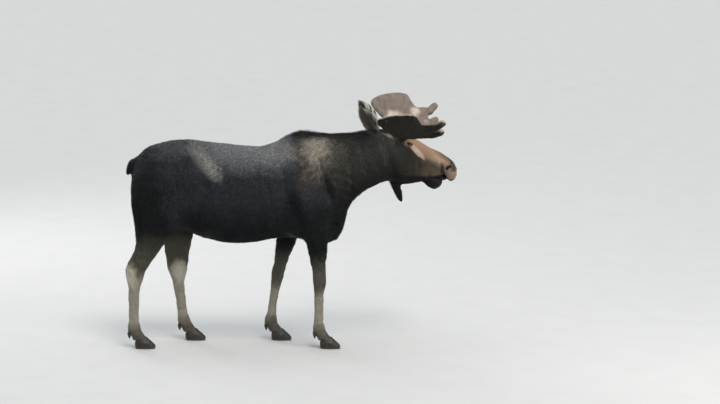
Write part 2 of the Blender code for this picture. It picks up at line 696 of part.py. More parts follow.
def part_antler(antler, name, side):
    """Splits an antler at its forks: the beam, the main palm and the two brow prongs."""
    turn = head_turn()
    ways = turn.to_3x3()
    inner = on_antler(0.93, 0.045, 0, side)
    rise = ways @ Vector((0, -side * math.cos(PALM_SLOPE), -math.sin(PALM_SLOPE)))
    palm = part_off(antler, f"antler_{name}_palm", ((inner, rise),))
    brow = part_off(palm, f"antler_{name}_brow_outer", (
        (on_antler(1.060, 0.2, 0, side), ways @ Vector((-1, 0, 0))),))
    part_off(brow, f"antler_{name}_brow_inner", (
        (on_antler(1.150, 0.156, 0, side), -rise),))


def part_legs(flesh):
    """Parts each leg from the trunk, then at the knee or hock and at the fetlock."""
    for name, side in SIDES.items():
        elbow = FORE_JOINTS[name][1]
        upper = part_off(flesh, f"foreleg_{name}_forearm", (
            ((0, side * 0.09, 0.875), (0, -0.527 * side, 0.850)),
            ((0, side * 0.03, 0), (0, -side, 0)),
            ((elbow[0] - 0.28, 0, 0), (-1, 0, 0)),
            ((elbow[0] + 0.25, 0, 0), (1, 0, 0)),
        ))
        split_leg(upper, f"foreleg_{name}", FORE_JOINTS[name])
        flank = HIND_JOINTS[name][1][0] + 0.19
        upper = part_off(flesh, f"hindleg_{name}_thigh", (
            plane_through((-1.00, side * 0.04, 0.95), (-1.35, side * 0.30, 1.45),
                          (flank, side * 0.30, 1.12)),
            ((0, side * 0.012, 0), (0, -side, 0)),
            ((-0.55, 0, 0), (1, 0, 0)),
        ))
        split_leg(upper, f"hindleg_{name}", HIND_JOINTS[name])


def split_leg(upper, name, joints):
    cannon = part_off(upper, name + "_cannon", (((0, 0, joints[2][2] - 0.03), (0, 0, 1)),))
    part_off(cannon, name + "_pastern", (((0, 0, joints[3][2] + 0.01), (0, 0, 1)),))


def make_eyes(flesh):
    for name, side in SIDES.items():
        x, y, z = EYE_PLACE
        spot = (x, side * y + head_shift(x), z)
        seat(flesh, "eye_" + name, spot, [EYE_RADIUS] * 3, 12, 8)


def make_nostrils(flesh):
    for side in SIDES.values():
        x, y, z = NOSTRIL_PLACE
        spot = (x, side * y + head_shift(x), z)
        pit = ball("pit", spot, NOSTRIL_RADII, 12, 8, "cutters")
        boolean(flesh, pit, "DIFFERENCE")
        bpy.data.objects.remove(pit)


def merged_flats(obj):
    """Merges the slivers that the cuts leave in flat places."""
    flat = obj.modifiers.new("flats", "DECIMATE")
    flat.decimate_type = "DISSOLVE"
    flat.angle_limit = FLAT_ANGLE
    flat.delimit = set()
    return baked(obj)


def paint(obj):
    """Gives a piece a material of its own, with its colour and roughness."""
    for start, colour, roughness in COLOURS:
        if obj.name.startswith(start):
            break
    made = bpy.data.materials.new(obj.name)
    made.use_nodes = True
    shader = made.node_tree.nodes["Principled BSDF"]
    shader.inputs["Base Color"].default_value = (*colour, 1)
    shader.inputs["Roughness"].default_value = roughness
    shader.inputs["Metallic"].default_value = 0
    obj.data.materials.clear()
    obj.data.materials.append(made)
    obj.data.shade_smooth()


def centre(pieces):
    """Moves everything so that the middle of its box stands over the origin."""
    low = Vector([min(v.co[i] for piece in pieces for v in piece.data.vertices) for i in range(3)])
    high = Vector([max(v.co[i] for piece in pieces for v in piece.data.vertices) for i in range(3)])
    middle = (low + high) / 2
    for piece in pieces:
        piece.data.transform(Matrix.Translation((-middle.x, -middle.y, 0)))
    print("moved by", round(-middle.x, 4), round(-middle.y, 4), "lowest", round(low.z, 5))


def main():
    clear_scene()
    flesh = make_flesh()
    flesh.name = "trunk"
    for name, side in SIDES.items():
        for grown in (make_antler("grown_antler", side), make_ear("grown_ear", side)):
            boolean(flesh, grown, "UNION")
            bpy.data.objects.remove(grown)
    make_eyes(flesh)
    make_nostrils(flesh)
    make_feet(flesh)
    part_head(flesh)
    part_legs(flesh)
    pieces = list(bpy.data.collections["bull_moose"].objects)
    for piece in pieces:
        paint(merged_flats(piece))
    centre(pieces)


main()
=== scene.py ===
import math
import time

import bpy
import numpy as np
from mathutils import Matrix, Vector
from mathutils.bvhtree import BVHTree


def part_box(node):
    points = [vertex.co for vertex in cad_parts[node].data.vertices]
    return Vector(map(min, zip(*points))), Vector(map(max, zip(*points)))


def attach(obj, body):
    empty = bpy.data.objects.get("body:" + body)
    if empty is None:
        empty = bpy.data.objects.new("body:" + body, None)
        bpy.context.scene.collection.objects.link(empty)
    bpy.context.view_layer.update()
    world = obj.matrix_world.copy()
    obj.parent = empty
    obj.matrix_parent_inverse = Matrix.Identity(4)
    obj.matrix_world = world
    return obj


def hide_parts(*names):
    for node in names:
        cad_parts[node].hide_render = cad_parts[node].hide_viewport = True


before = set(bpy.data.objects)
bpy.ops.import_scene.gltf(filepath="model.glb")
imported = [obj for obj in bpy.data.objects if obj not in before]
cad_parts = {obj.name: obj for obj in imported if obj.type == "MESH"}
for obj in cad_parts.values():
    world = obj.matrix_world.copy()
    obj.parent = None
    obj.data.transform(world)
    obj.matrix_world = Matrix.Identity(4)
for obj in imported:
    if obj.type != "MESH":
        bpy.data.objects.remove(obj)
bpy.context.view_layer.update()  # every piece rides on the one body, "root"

started = time.time()
sides = {"left": 1, "right": -1}

# The head turns a little to the left in front of its pivot.
headTurn = {"pivot": 0.8007, "slope": math.tan(math.radians(3.5)), "middle": 0.0067}


def report(text):
    print(f"{time.time() - started:6.1f} s  {text}", flush=True)


def rise(value, low, high):  # 0 below low, 1 above high, smooth between
    t = np.clip((value - low) / (high - low), 0, 1)
    return t * t * (3 - 2 * t)


def between(value, low, high, soft):  # 1 from low to high, fading over soft outside
    return rise(value, low - soft, low) * (1 - rise(value, high, high + soft))


def unit(ways):
    return ways / np.maximum(np.linalg.norm(ways, axis=-1, keepdims=True), 1e-9)


def dots(first, second):
    return (first * second).sum(-1, keepdims=True)


def folded(points):  # both sides laid on one: x, distance from the middle line, z, and the side
    shift = headTurn["middle"] + headTurn["slope"] * np.maximum(0, points[:, 0] - headTurn["pivot"])
    aside = points[:, 1] - shift
    side = np.where(aside < 0, -1.0, 1.0)
    return np.stack([points[:, 0], np.abs(aside), points[:, 2]], 1), side


def waves(points, length, seed, count=14):  # a soft, even noise of about -1 to 1
    chance = np.random.default_rng(seed)
    ways = unit(chance.normal(size=(count, 3))) * (2 * math.pi / length)
    ways *= chance.uniform(0.6, 1.5, (count, 1))
    turns = points @ ways.T + chance.uniform(0, 2 * math.pi, count)
    return np.sin(turns).sum(1) / math.sqrt(count) * 0.9


def readPoints(mesh):
    flat = np.empty(len(mesh.vertices) * 3)
    mesh.vertices.foreach_get("co", flat)
    return flat.reshape(-1, 3)


def shapeOf(mesh):  # points and normals
    flat = np.empty(len(mesh.vertices) * 3)
    mesh.vertex_normals.foreach_get("vector", flat)
    return readPoints(mesh), flat.reshape(-1, 3)


def writePoints(mesh, points):
    mesh.vertices.foreach_set("co", points.ravel())
    mesh.update()


def keep(mesh, title, values):
    layer = mesh.attributes.new(title, "FLOAT", "POINT")
    layer.data.foreach_set("value", np.asarray(values, np.float32))


def standsOut(mesh, size):  # how far each place stands out from what lies around it
    points, normals = shapeOf(mesh)
    flat = np.empty(len(mesh.edges) * 2, np.int32)
    mesh.edges.foreach_get("vertices", flat)
    ends = flat.reshape(-1, 2)
    count = np.bincount(flat, minlength=len(points))[:, None]
    step = np.median(np.linalg.norm(points[ends[:, 0]] - points[ends[:, 1]], axis=1))
    rounds = int((size / step) ** 2)
    soft = points.copy()
    for _ in range(rounds):
        total = np.zeros_like(soft)
        for a, b in ((0, 1), (1, 0)):
            for axis in range(3):
                total[:, axis] += np.bincount(ends[:, a], soft[ends[:, b], axis], len(points))
        soft = (soft + total / count) / 2
    return ((points - soft) * normals).sum(1)


def linked(title, mesh):
    obj = bpy.data.objects.new(title, mesh)
    bpy.context.scene.collection.objects.link(obj)
    return obj


def only(obj):  # selects one object and nothing else
    bpy.ops.object.select_all(action="DESELECT")
    obj.select_set(True)
    bpy.context.view_layer.objects.active = obj
    return obj


def applied(obj, kind, **settings):
    made = only(obj).modifiers.new(kind.title(), kind)
    for name, value in settings.items():
        setattr(made, name, value)
    bpy.ops.object.modifier_apply(modifier=made.name)


def groupOf(obj, name, weights):  # a vertex group whose weights are rounded to a few steps
    group = obj.vertex_groups.new(name=name)
    steps = np.round(np.clip(weights, 0, 1) * 20).astype(int)
    for step in range(1, 21):
        group.add(np.flatnonzero(steps == step).tolist(), step / 20, "REPLACE")


def copyOf(names, title):  # copies of CAD nodes, each merged, joined into one new object
    bpy.ops.object.select_all(action="DESELECT")
    for name in names:
        twin = linked(title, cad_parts[name].data.copy())
        twin.select_set(True)
        bpy.context.view_layer.objects.active = twin
    bpy.ops.object.join()
    joined = bpy.context.view_layer.objects.active
    joined.name = title
    joined.data.materials.clear()
    bpy.ops.object.mode_set(mode="EDIT")
    bpy.ops.mesh.select_all(action="SELECT")
    bpy.ops.mesh.remove_doubles(threshold=0.00005)
    bpy.ops.object.mode_set(mode="OBJECT")
    for layer in list(joined.data.uv_layers):
        joined.data.uv_layers.remove(layer)
    return joined


def grown(obj, amount, voxel):  # closes the thin cuts between pieces and makes one even skin
    applied(obj, "DISPLACE", strength=amount, mid_level=0)
    applied(obj, "REMESH", mode="VOXEL", voxel_size=voxel)


def finished(obj, material):
    obj.data.materials.clear()
    obj.data.materials.append(material)
    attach(obj, "root")


class Value:  # wraps a node's output, so that masks can be written as sums
    def __init__(self, paint, out):
        self.paint = paint
        self.out = out

    def maths(self, operation, first, second=0.0):
        return self.paint.node("ShaderNodeMath", {"operation": operation}, {0: first, 1: second})

    def __add__(self, other):
        return self.maths("ADD", self, other)

    def __radd__(self, other):
        return self.maths("ADD", other, self)

    def __sub__(self, other):
        return self.maths("SUBTRACT", self, other)

    def __rsub__(self, other):
        return self.maths("SUBTRACT", other, self)

    def __mul__(self, other):
        return self.maths("MULTIPLY", self, other)

    def __rmul__(self, other):
        return self.maths("MULTIPLY", other, self)

    def __truediv__(self, other):
        return self.maths("DIVIDE", self, other)

    def __pow__(self, other):
        return self.maths("POWER", self, other)

    def __abs__(self):
        return self.maths("ABSOLUTE", self)


class Paint:  # one material, with short ways to add nodes to it
    def __init__(self, name, roughness, specular=0.4, **fixed):
        self.material = bpy.data.materials.new(name)
        self.material.use_nodes = True
        self.tree = self.material.node_tree
        self.shader = self.tree.nodes["Principled BSDF"]
        self.shader.inputs["Roughness"].default_value = roughness
        self.shader.inputs["Specular IOR Level"].default_value = specular
        for socket, value in fixed.items():
            self.shader.inputs[socket.replace("_", " ")].default_value = value

    def node(self, kind, settings, inputs, output=0):
        made = self.tree.nodes.new(kind)
        for name, value in settings.items():
            setattr(made, name, value)
        for name, value in inputs.items():
            if isinstance(value, Value):
                self.tree.links.new(value.out, made.inputs[name])
            else:
                made.inputs[name].default_value = value
        return Value(self, made.outputs[output])

    def place(self):
        return self.node("ShaderNodeTexCoord", {}, {}, "Object")

    def parts(self, vector):  # the three numbers of a vector
        split = self.node("ShaderNodeSeparateXYZ", {}, {0: vector}).out.node
        return [Value(self, out) for out in split.outputs]

    def ramp(self, value, low, high):  # 0 to 1, smooth
        return self.node("ShaderNodeMapRange", {"interpolation_type": "SMOOTHSTEP"},
                         {0: value, 1: low, 2: high, 3: 0.0, 4: 1.0})

    def mix(self, first, second, factor):
        first, second = [(*c, 1) if isinstance(c, tuple) else c for c in (first, second)]
        return self.node("ShaderNodeMix", {"data_type": "RGBA"}, {0: factor, 6: first, 7: second}, 2)

    def tinted(self, colour, factor):  # a colour made lighter or darker
        grey = self.node("ShaderNodeCombineXYZ", {}, {0: factor, 1: factor, 2: factor})
        return self.node("ShaderNodeVectorMath", {"operation": "MULTIPLY"}, {0: colour, 1: grey})

    def noise(self, vector, scale, detail=2.0, stretch=None):
        if stretch:
            vector = self.node("ShaderNodeMapping", {}, {0: vector, 3: stretch})
        return self.node("ShaderNodeTexNoise", {},
                         {"Vector": vector, "Scale": scale, "Detail": detail, "Roughness": 0.6})

    def attribute(self, name):
        return self.node("ShaderNodeAttribute", {"attribute_name": name}, {}, "Fac")

    def send(self, value, socket):
        self.tree.links.new(value.out, self.shader.inputs[socket])

    def bump(self, height, distance, strength=1.0):
        self.send(self.node("ShaderNodeBump", {},
                            {"Height": height, "Distance": distance, "Strength": strength}), "Normal")


# camera, light and floor
studio = {
    "target": (0.577, 0.0, 1.2185),
    "distance": 25.0,
    "elevation": 10.0,
    "lens": 148.8,
    "floor": (0.58, 0.575, 0.56),
    "world": (0.88, 0.94, 1.0),
    "worldPower": 0.50,
    # name, where it shines from, power, width in degrees, colour
    "suns": (
        ("keySun", (0.35, -0.75, 1.35), 1.45, 25, (1.0, 0.97, 0.92)),
        ("skySun", (-0.25, 0.30, 1.80), 1.25, 60, (0.92, 0.96, 1.0)),
    ),
    # name, place, aim, size, watts, colour
    "lamps": (
        ("rimLamp", (-4.5, 5.0, 4.5), (0.0, 0.0, 1.2), 2.5, 120, (1.0, 1.0, 1.0)),
        ("faceLamp", (5.5, -3.0, 3.4), (1.0, 0.0, 1.6), 2.0, 90, (1.0, 0.98, 0.95)),
    ),
}


def addLamp(kind, name, place, aim, power, colour):
    bpy.ops.object.light_add(type=kind, location=place)
    lamp = bpy.context.object
    lamp.name = name
    lamp.data.energy = power
    lamp.data.color = colour
    lamp.rotation_euler = (Vector(aim) - Vector(place)).to_track_quat("-Z", "Y").to_euler()
    return lamp.data


def makeStudio():
    for name, place, power, angle, colour in studio["suns"]:
        addLamp("SUN", name, place, (0, 0, 0), power, colour).angle = math.radians(angle)
    for name, place, aim, size, watts, colour in studio["lamps"]:
        lamp = addLamp("AREA", name, place, aim, watts, colour)
        lamp.shape = "DISK"
        lamp.size = size
    world = bpy.context.scene.world or bpy.data.worlds.new("studioWorld")
    bpy.context.scene.world = world
    world.use_nodes = True
    sky = world.node_tree.nodes["Background"]
    sky.inputs["Color"].default_value = (*studio["world"], 1)
    sky.inputs["Strength"].default_value = studio["worldPower"]
    bpy.ops.mesh.primitive_plane_add(size=240, location=(0, 60, 0))
    floor = bpy.context.object
    floor.name = "studioFloor"
    bpy.ops.object.transform_apply(location=True, rotation=True, scale=True)
    paint = Paint("paleFloor", 0.9, 0.1)
    grain = paint.noise(paint.place(), 3.0, 4.0)
    light, dark = studio["floor"], tuple(0.97 * c for c in studio["floor"])
    paint.send(paint.mix(dark, light, paint.ramp(grain, 0.3, 0.7)), "Base Color")
    floor.data.materials.append(paint.material)
    aim = Vector(studio["target"])
    slope = math.radians(studio["elevation"])
    back = Vector((0, -math.cos(slope), math.sin(slope)))
    bpy.ops.object.camera_add(location=aim + back * studio["distance"])
    camera = bpy.context.object
    camera.name = "photoCamera"
    camera.rotation_euler = (-back).to_track_quat("-Z", "Y").to_euler()
    camera.data.lens = studio["lens"]
    camera.data.clip_end = 400
    bpy.context.scene.camera = camera
    bpy.context.scene.view_settings.view_transform = "Standard"
    report("studio ready")


makeStudio()


# the skin: sizes in metres; places are x, distance from the middle, z
skinShape = {
    "voxel": 0.005,
    "triangles": 165000,
    "grow": 0.0012,
    "rounds": {"broad": 110, "limbs": 18, "all": 3},
    # height and length of the ribs, throat folds and finer unevenness
    "ribs": (0.0013, 0.085),
    "folds": (0.0012, 0.075),
    "body": ((0.0016, 0.11), (0.0008, 0.04)),
    "snout": (0.0010, 0.020),
    "face": (0.0004, 0.012),
    # how deep the coat lies over the skin, on the trunk and in each other region
    "depth": 0.0075,
    "depths": {"crest": 0.020, "leg": 0.0040, "foot": 0.0020, "head": 0.0026, "muzzle": 0.0018,
               "ear": 0.0022, "bell": 0.005, "tail": 0.009},
    # grooves and ridges: points as (x, out, z), width, height
    "lines": (
        (((0.24, 0.16, 1.60), (0.28, 0.21, 1.44), (0.345, 0.20, 1.24)), 0.032, -0.018),
        (((-0.07, 0.22, 1.52), (-0.04, 0.25, 1.34), (0.03, 0.26, 1.16), (0.09, 0.24, 1.02)), 0.050, -0.021),
        (((0.10, 0.15, 1.74), (0.16, 0.19, 1.58), (0.22, 0.20, 1.38)), 0.042, 0.010),
        (((0.01, 0.20, 1.62), (0.02, 0.22, 1.46), (0.09, 0.23, 1.30)), 0.045, 0.009),
        (((0.36, 0.16, 1.36), (0.42, 0.15, 1.24)), 0.050, 0.009),
        (((-0.86, 0.12, 1.70), (-0.74, 0.20, 1.60), (-0.67, 0.24, 1.46)), 0.040, 0.014),
        (((-0.68, 0.13, 1.68), (-0.60, 0.21, 1.54)), 0.055, -0.014),
        (((-0.72, 0.22, 1.38), (-0.76, 0.23, 1.22), (-0.78, 0.20, 1.08)), 0.045, -0.014),
        (((-0.70, 0.20, 1.14), (-0.78, 0.21, 1.06), (-0.86, 0.20, 1.00)), 0.028, 0.010),
        (((-1.05, 0.20, 1.52), (-1.075, 0.23, 1.32), (-1.08, 0.22, 1.06)), 0.035, -0.013),
        (((-1.20, 0.16, 1.52), (-1.24, 0.20, 1.32), (-1.26, 0.20, 1.10)), 0.040, -0.008),
        (((-1.27, 0.08, 1.52), (-1.32, 0.12, 1.34), (-1.33, 0.15, 1.14)), 0.030, 0.006),
        (((-1.26, 0.165, 0.86), (-1.31, 0.165, 0.70)), 0.016, -0.008),
        (((-0.86, 0.165, 0.86), (-0.91, 0.165, 0.70)), 0.016, -0.008),
        (((0.55, 0.12, 1.78), (0.62, 0.17, 1.62), (0.64, 0.16, 1.46)), 0.030, -0.006),
        (((0.44, 0.15, 1.74), (0.50, 0.18, 1.54), (0.52, 0.15, 1.32)), 0.034, -0.008),
        (((0.76, 0.13, 1.74), (0.80, 0.14, 1.60), (0.84, 0.12, 1.46)), 0.024, -0.007),
        (((0.92, 0.11, 1.50), (0.99, 0.11, 1.47), (1.06, 0.10, 1.50), (1.07, 0.11, 1.60)), 0.016, -0.009),
        (((0.88, 0.12, 1.745), (0.93, 0.12, 1.715)), 0.018, -0.006),
        (((0.99, 0.10, 1.685), (1.12, 0.08, 1.60), (1.22, 0.08, 1.54)), 0.013, 0.0075),
        (((0.935, 0.11, 1.752), (0.97, 0.115, 1.762), (1.005, 0.11, 1.748)), 0.010, 0.0055),
        (((1.012, 0.10, 1.703), (1.040, 0.10, 1.680)), 0.006, -0.004),
        (((1.09, 0.09, 1.458), (1.14, 0.085, 1.450), (1.20, 0.08, 1.440)), 0.006, -0.009),
        (((1.282, 0.10, 1.535), (1.272, 0.10, 1.49), (1.266, 0.09, 1.45)), 0.010, -0.015),
        (((1.246, 0.10, 1.535), (1.240, 0.10, 1.49), (1.236, 0.09, 1.455)), 0.014, 0.006),
        (((1.303, 0.10, 1.507), (1.313, 0.10, 1.522), (1.334, 0.10, 1.530)), 0.0125, -0.028),
        (((1.282, 0.10, 1.530), (1.296, 0.10, 1.548), (1.318, 0.10, 1.556), (1.346, 0.09, 1.550)),
         0.009, 0.0075),
        (((1.315, 0.10, 1.496), (1.338, 0.09, 1.504), (1.356, 0.08, 1.518)), 0.010, 0.0055),
        (((1.345, 0.05, 1.47), (1.335, 0.08, 1.43)), 0.010, -0.004),
        (((1.380, 0.0, 1.53), (1.372, 0.0, 1.46), (1.350, 0.0, 1.40)), 0.006, -0.005),
    ),
    # mounds and dips: place, size, height
    "mounds": (
        ((-0.88, 0.14, 1.66), 0.055, 0.012),
        ((-0.74, 0.16, 1.62), 0.080, -0.012),
        ((-1.24, 0.10, 1.56), 0.050, 0.008),
        ((0.35, 0.16, 1.16), 0.060, 0.012),
        ((0.10, 0.24, 1.18), 0.090, 0.011),
        ((0.04, 0.22, 0.99), 0.035, 0.008),
        ((-0.98, 0.22, 1.24), 0.090, 0.008),
        ((0.98, 0.12, 1.58), 0.050, 0.006),
        ((1.08, 0.06, 1.70), 0.035, -0.004),
        ((1.22, 0.05, 1.66), 0.040, 0.004),
        ((1.325, 0.10, 1.480), 0.022, 0.005),
    ),
    # smaller faces: place as (x, out, z), radius
    "fine": (((0.987, 0.100, 1.722), 0.045), ((1.300, 0.090, 1.505), 0.060), ((1.22, 0.06, 1.45), 0.060)),
}

fleshNodes = ["trunk", "neck", "head", "lower_jaw", "bell", "tail", "ear_left", "ear_right"]
fleshNodes += [f"foreleg_{s}_{n}" for s in sides for n in ("forearm", "cannon", "pastern")]
fleshNodes += [f"hindleg_{s}_{n}" for s in sides for n in ("thigh", "cannon", "pastern")]

ear = {"root": np.array((0.7057, 0.082, 1.800)), "tip": np.array((0.5707, 0.200, 2.042)),
       "open": np.array((0.45, 0.85, -0.15))}
ear["way"] = unit(ear["tip"] - ear["root"])
ear["open"] = unit(ear["open"] - ear["way"] * (ear["open"] @ ear["way"]))
ear["across"] = unit(np.cross(ear["way"], ear["open"]))
ear["across"] = ear["across"] * np.sign(ear["across"][0])
# lids: half length and height of the opening, thickness, then height, place and width of each ridge
eyeShape = {"out": unit(np.array((0.26, 0.94, 0.16))), "long": 0.0170, "tall": 0.0098, "lid": 0.0026,
            "rim": (0.0012, 1.12, 0.16), "upper": (0.0030, 1.95, 0.20), "lower": (0.0016, 2.30, 0.22)}


def zones(q):  # soft masks of the body's regions, from folded places
    x, out, z = q.T
    found = {}
    found["ear"] = rise(z, 1.838, 1.862) * (1 - rise(x, 0.775, 0.80)) * rise(out, 0.045, 0.07)
    found["head"] = rise(x + 0.30 * (z - 1.6), 0.76, 0.92) * (1 - found["ear"])
    found["muzzle"] = rise(x, 1.14, 1.27)
    found["bell"] = (between(x, 0.80, 0.965, 0.02) * (1 - rise(z + 0.287 * (x - 0.79), 1.355, 1.40))
                     * (1 - rise(out, 0.045, 0.07)) * rise(z, 1.1, 1.15))
    found["tail"] = (1 - rise(x, -1.325, -1.30)) * (1 - rise(out, 0.035, 0.05)) * rise(z, 1.40, 1.43)
    found["leg"] = 1 - rise(z, 0.62, 0.98)
    found["foot"] = 1 - rise(z, 0.10, 0.20)
    found["crest"] = (rise(z, 1.755, 1.815) * between(x, -0.02, 0.66, 0.10) * (1 - rise(out, 0.05, 0.14)))
    found["belly"] = (1 - rise(z, 0.92, 1.02)) * rise(z, 0.80, 0.85) * between(x, -0.75, 0.30, 0.1)
    return found


def coatDepth(q):
    zone = zones(q)
    depth = np.full(len(q), skinShape["depth"])
    for name, value in skinShape["depths"].items():
        depth += (value - depth) * zone[name]
    return depth


def nearLine(q, line):  # distance of each place from a bent line
    best = np.full(len(q), 9.0)
    for a, b in zip(line, line[1:]):
        a, b = np.array(a), np.array(b)
        t = np.clip((q - a) @ (b - a) / ((b - a) @ (b - a)), 0, 1)
        best = np.minimum(best, np.linalg.norm(q - a - t[:, None] * (b - a), axis=1))
    return best


def eyeCentre(side):
    low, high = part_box("eye_left" if side > 0 else "eye_right")
    return np.array((low + high) / 2)


def eyeRadius():
    low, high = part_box("eye_left")
    return (high.z - low.z) / 2


def eyeAxes(side):  # out of the head, forward along the lids, and up
    out = eyeShape["out"] * (1, side, 1)
    along = np.array((0.86, 0.0, -0.50))
    along = unit(along - out * (along @ out))
    up = np.cross(out, along)
    return out, along, up if up[2] > 0 else -up


def lidPlaces(points, side):  # along the lids, up, out of the head, and 1 at the lids' edge
    out, along, up = eyeAxes(side)
    rel = points - eyeCentre(side)
    a, b, d = rel @ along, rel @ up, rel @ out
    tall = np.where(b > 0, eyeShape["tall"], eyeShape["tall"] * 0.85)
    bend = b - 0.10 * a  # the front corner hangs lower
    share = np.sqrt((a / eyeShape["long"]) ** 2 + (bend / tall) ** 2)
    return a, b, d, np.where(d > -0.014, share, 99.0)


def shapeLids(points):  # opens an almond over each eyeball and lays the lids round it
    radius = eyeRadius()

    def ridge(name):
        height, place, width = eyeShape[name]
        return height * np.exp(-((share - place) / width) ** 2)

    for side in sides.values():
        out = eyeAxes(side)[0]
        a, b, d, share = lidPlaces(points, side)
        near = share < 5.5
        a, b, d, share = a[near], b[near], d[near], share[near]
        flat = a ** 2 + b ** 2
        ball = np.sqrt(np.maximum(radius ** 2 - flat, 0))
        lid = np.sqrt(np.maximum((radius + eyeShape["lid"]) ** 2 - flat, 0))
        lid += ridge("rim") + 0.0016 * rise(b, 0.004, 0.012)
        crease = -ridge("upper") * rise(b, -0.002, 0.004)
        crease -= ridge("lower") * rise(-b, 0.002, 0.008)
        wrap = 1 - rise(share, 1.35, 2.7)
        new = np.where(share < 1, ball - 0.006, np.maximum(d, lid * wrap + d * (1 - wrap)) + crease)
        points[near] += out * (new - d)[:, None]
    return points


def dropLip(points):  # the upper lip hangs to the lower one at the sides of the mouth
    q, _ = folded(points)
    x, out, z = q.T
    jawTop = 1.447 - 0.36 * np.maximum(0, x - 1.19)
    mask = between(x, 1.175, 1.262, 0.022) * (1 - rise(z, 1.462, 1.530)) * rise(z - jawTop, 0.002, 0.010)
    points[:, 2] -= 0.021 * mask
    return points


def sculpt(obj):
    mesh = obj.data
    points, normals = shapeOf(mesh)
    q, _ = folded(points)
    lift = -(coatDepth(q) + skinShape["grow"])
    for line, width, height in skinShape["lines"]:
        lift += height * np.exp(-(nearLine(q, line) / width) ** 2)
    for place, size, height in skinShape["mounds"]:
        lift += height * np.exp(-(np.linalg.norm(q - np.array(place), axis=1) / size) ** 2)
    x, out, z = q.T
    trunk = between(x, -0.60, -0.08, 0.12) * between(z, 1.06, 1.50, 0.12)
    high, long = skinShape["ribs"]
    lift += high * trunk * np.sin((x + 0.18 * z) * 2 * math.pi / long) * (0.6 + 0.5 * waves(q, 0.5, 3))
    body = 1 - rise(x, 0.70, 0.90)
    (high, long), (low, short) = skinShape["body"]
    lift += body * (high * waves(q, long, 4) + low * waves(q, short, 5))
    throat = between(x, 0.40, 0.80, 0.08) * (1 - rise(z - 0.45 * x, 1.20, 1.40))
    high, long = skinShape["folds"]
    lift += high * throat * np.sin((0.55 * x + z) * 2 * math.pi / long + 1.5 * waves(q, 0.3, 8))
    high, long = skinShape["snout"]
    lift += high * rise(x, 1.24, 1.34) * waves(q, long, 6)
    high, long = skinShape["face"]
    lift += high * rise(x, 0.9, 1.0) * waves(q, long, 7)
    points += normals * lift[:, None]
    writePoints(mesh, shapeLids(dropLip(points)))


def refine(obj, share):  # halves the faces round the eyes, nostrils and mouth
    mesh = obj.data
    flat = np.empty(len(mesh.polygons) * 3)
    mesh.polygons.foreach_get("center", flat)
    q, _ = folded(flat.reshape(-1, 3))
    near = np.zeros(len(q), bool)
    for place, size in skinShape["fine"]:
        near |= np.linalg.norm(q - np.array(place), axis=1) < size * share
    only(obj)
    bpy.ops.object.mode_set(mode="EDIT")
    bpy.ops.mesh.select_mode(type="FACE")
    bpy.ops.mesh.select_all(action="DESELECT")
    bpy.ops.object.mode_set(mode="OBJECT")
    mesh.polygons.foreach_set("select", near)
    bpy.ops.object.mode_set(mode="EDIT")
    bpy.ops.mesh.subdivide(number_cuts=1, smoothness=0.0)
    bpy.ops.object.mode_set(mode="OBJECT")


def makeSkin():
    skin = copyOf(fleshNodes + ["eye_left", "eye_right"], "mooseSkin")
    grown(skin, skinShape["grow"], skinShape["voxel"])
    q, _ = folded(readPoints(skin.data))
    zone = zones(q)
    thin = np.maximum(zone["ear"], np.maximum(zone["head"], zone["bell"]))
    thin = np.maximum(thin, np.maximum(zone["leg"], zone["tail"]))
    groupOf(skin, "broad", 1 - thin)
    groupOf(skin, "limbs", 1 - np.maximum(zone["ear"], 0.3 * zone["head"]))
    rounds = skinShape["rounds"]
    applied(skin, "SMOOTH", factor=0.5, iterations=rounds["broad"], vertex_group="broad")
    applied(skin, "SMOOTH", factor=0.5, iterations=rounds["limbs"], vertex_group="limbs")
    applied(skin, "SMOOTH", factor=0.5, iterations=rounds["all"])
    report(f"skin remeshed, {len(skin.data.polygons)} faces")
    for share in (1.0, 0.8):
        refine(skin, share)
    sculpt(skin)
    q, _ = folded(readPoints(skin.data))
    zone = zones(q)
    keepFine = np.maximum(zone["head"], zone["ear"]) * 0.93
    for place, size in skinShape["fine"]:
        far = np.linalg.norm(q - np.array(place), axis=1)
        keepFine = np.maximum(keepFine, 1 - rise(far, size * 0.7, size))
    groupOf(skin, "coarse", 1 - keepFine)
    skin.data.calc_loop_triangles()
    share = skinShape["triangles"] / len(skin.data.loop_triangles)
    if share < 1:
        applied(skin, "DECIMATE", ratio=share, vertex_group="coarse", vertex_group_factor=0.0004)
    applied(skin, "TRIANGULATE")
    skin.vertex_groups.clear()
    skin.data.shade_smooth()
    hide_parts(*fleshNodes)
    report(f"skin shaped, {len(skin.data.polygons)} triangles")
    return skin


skin = makeSkin()


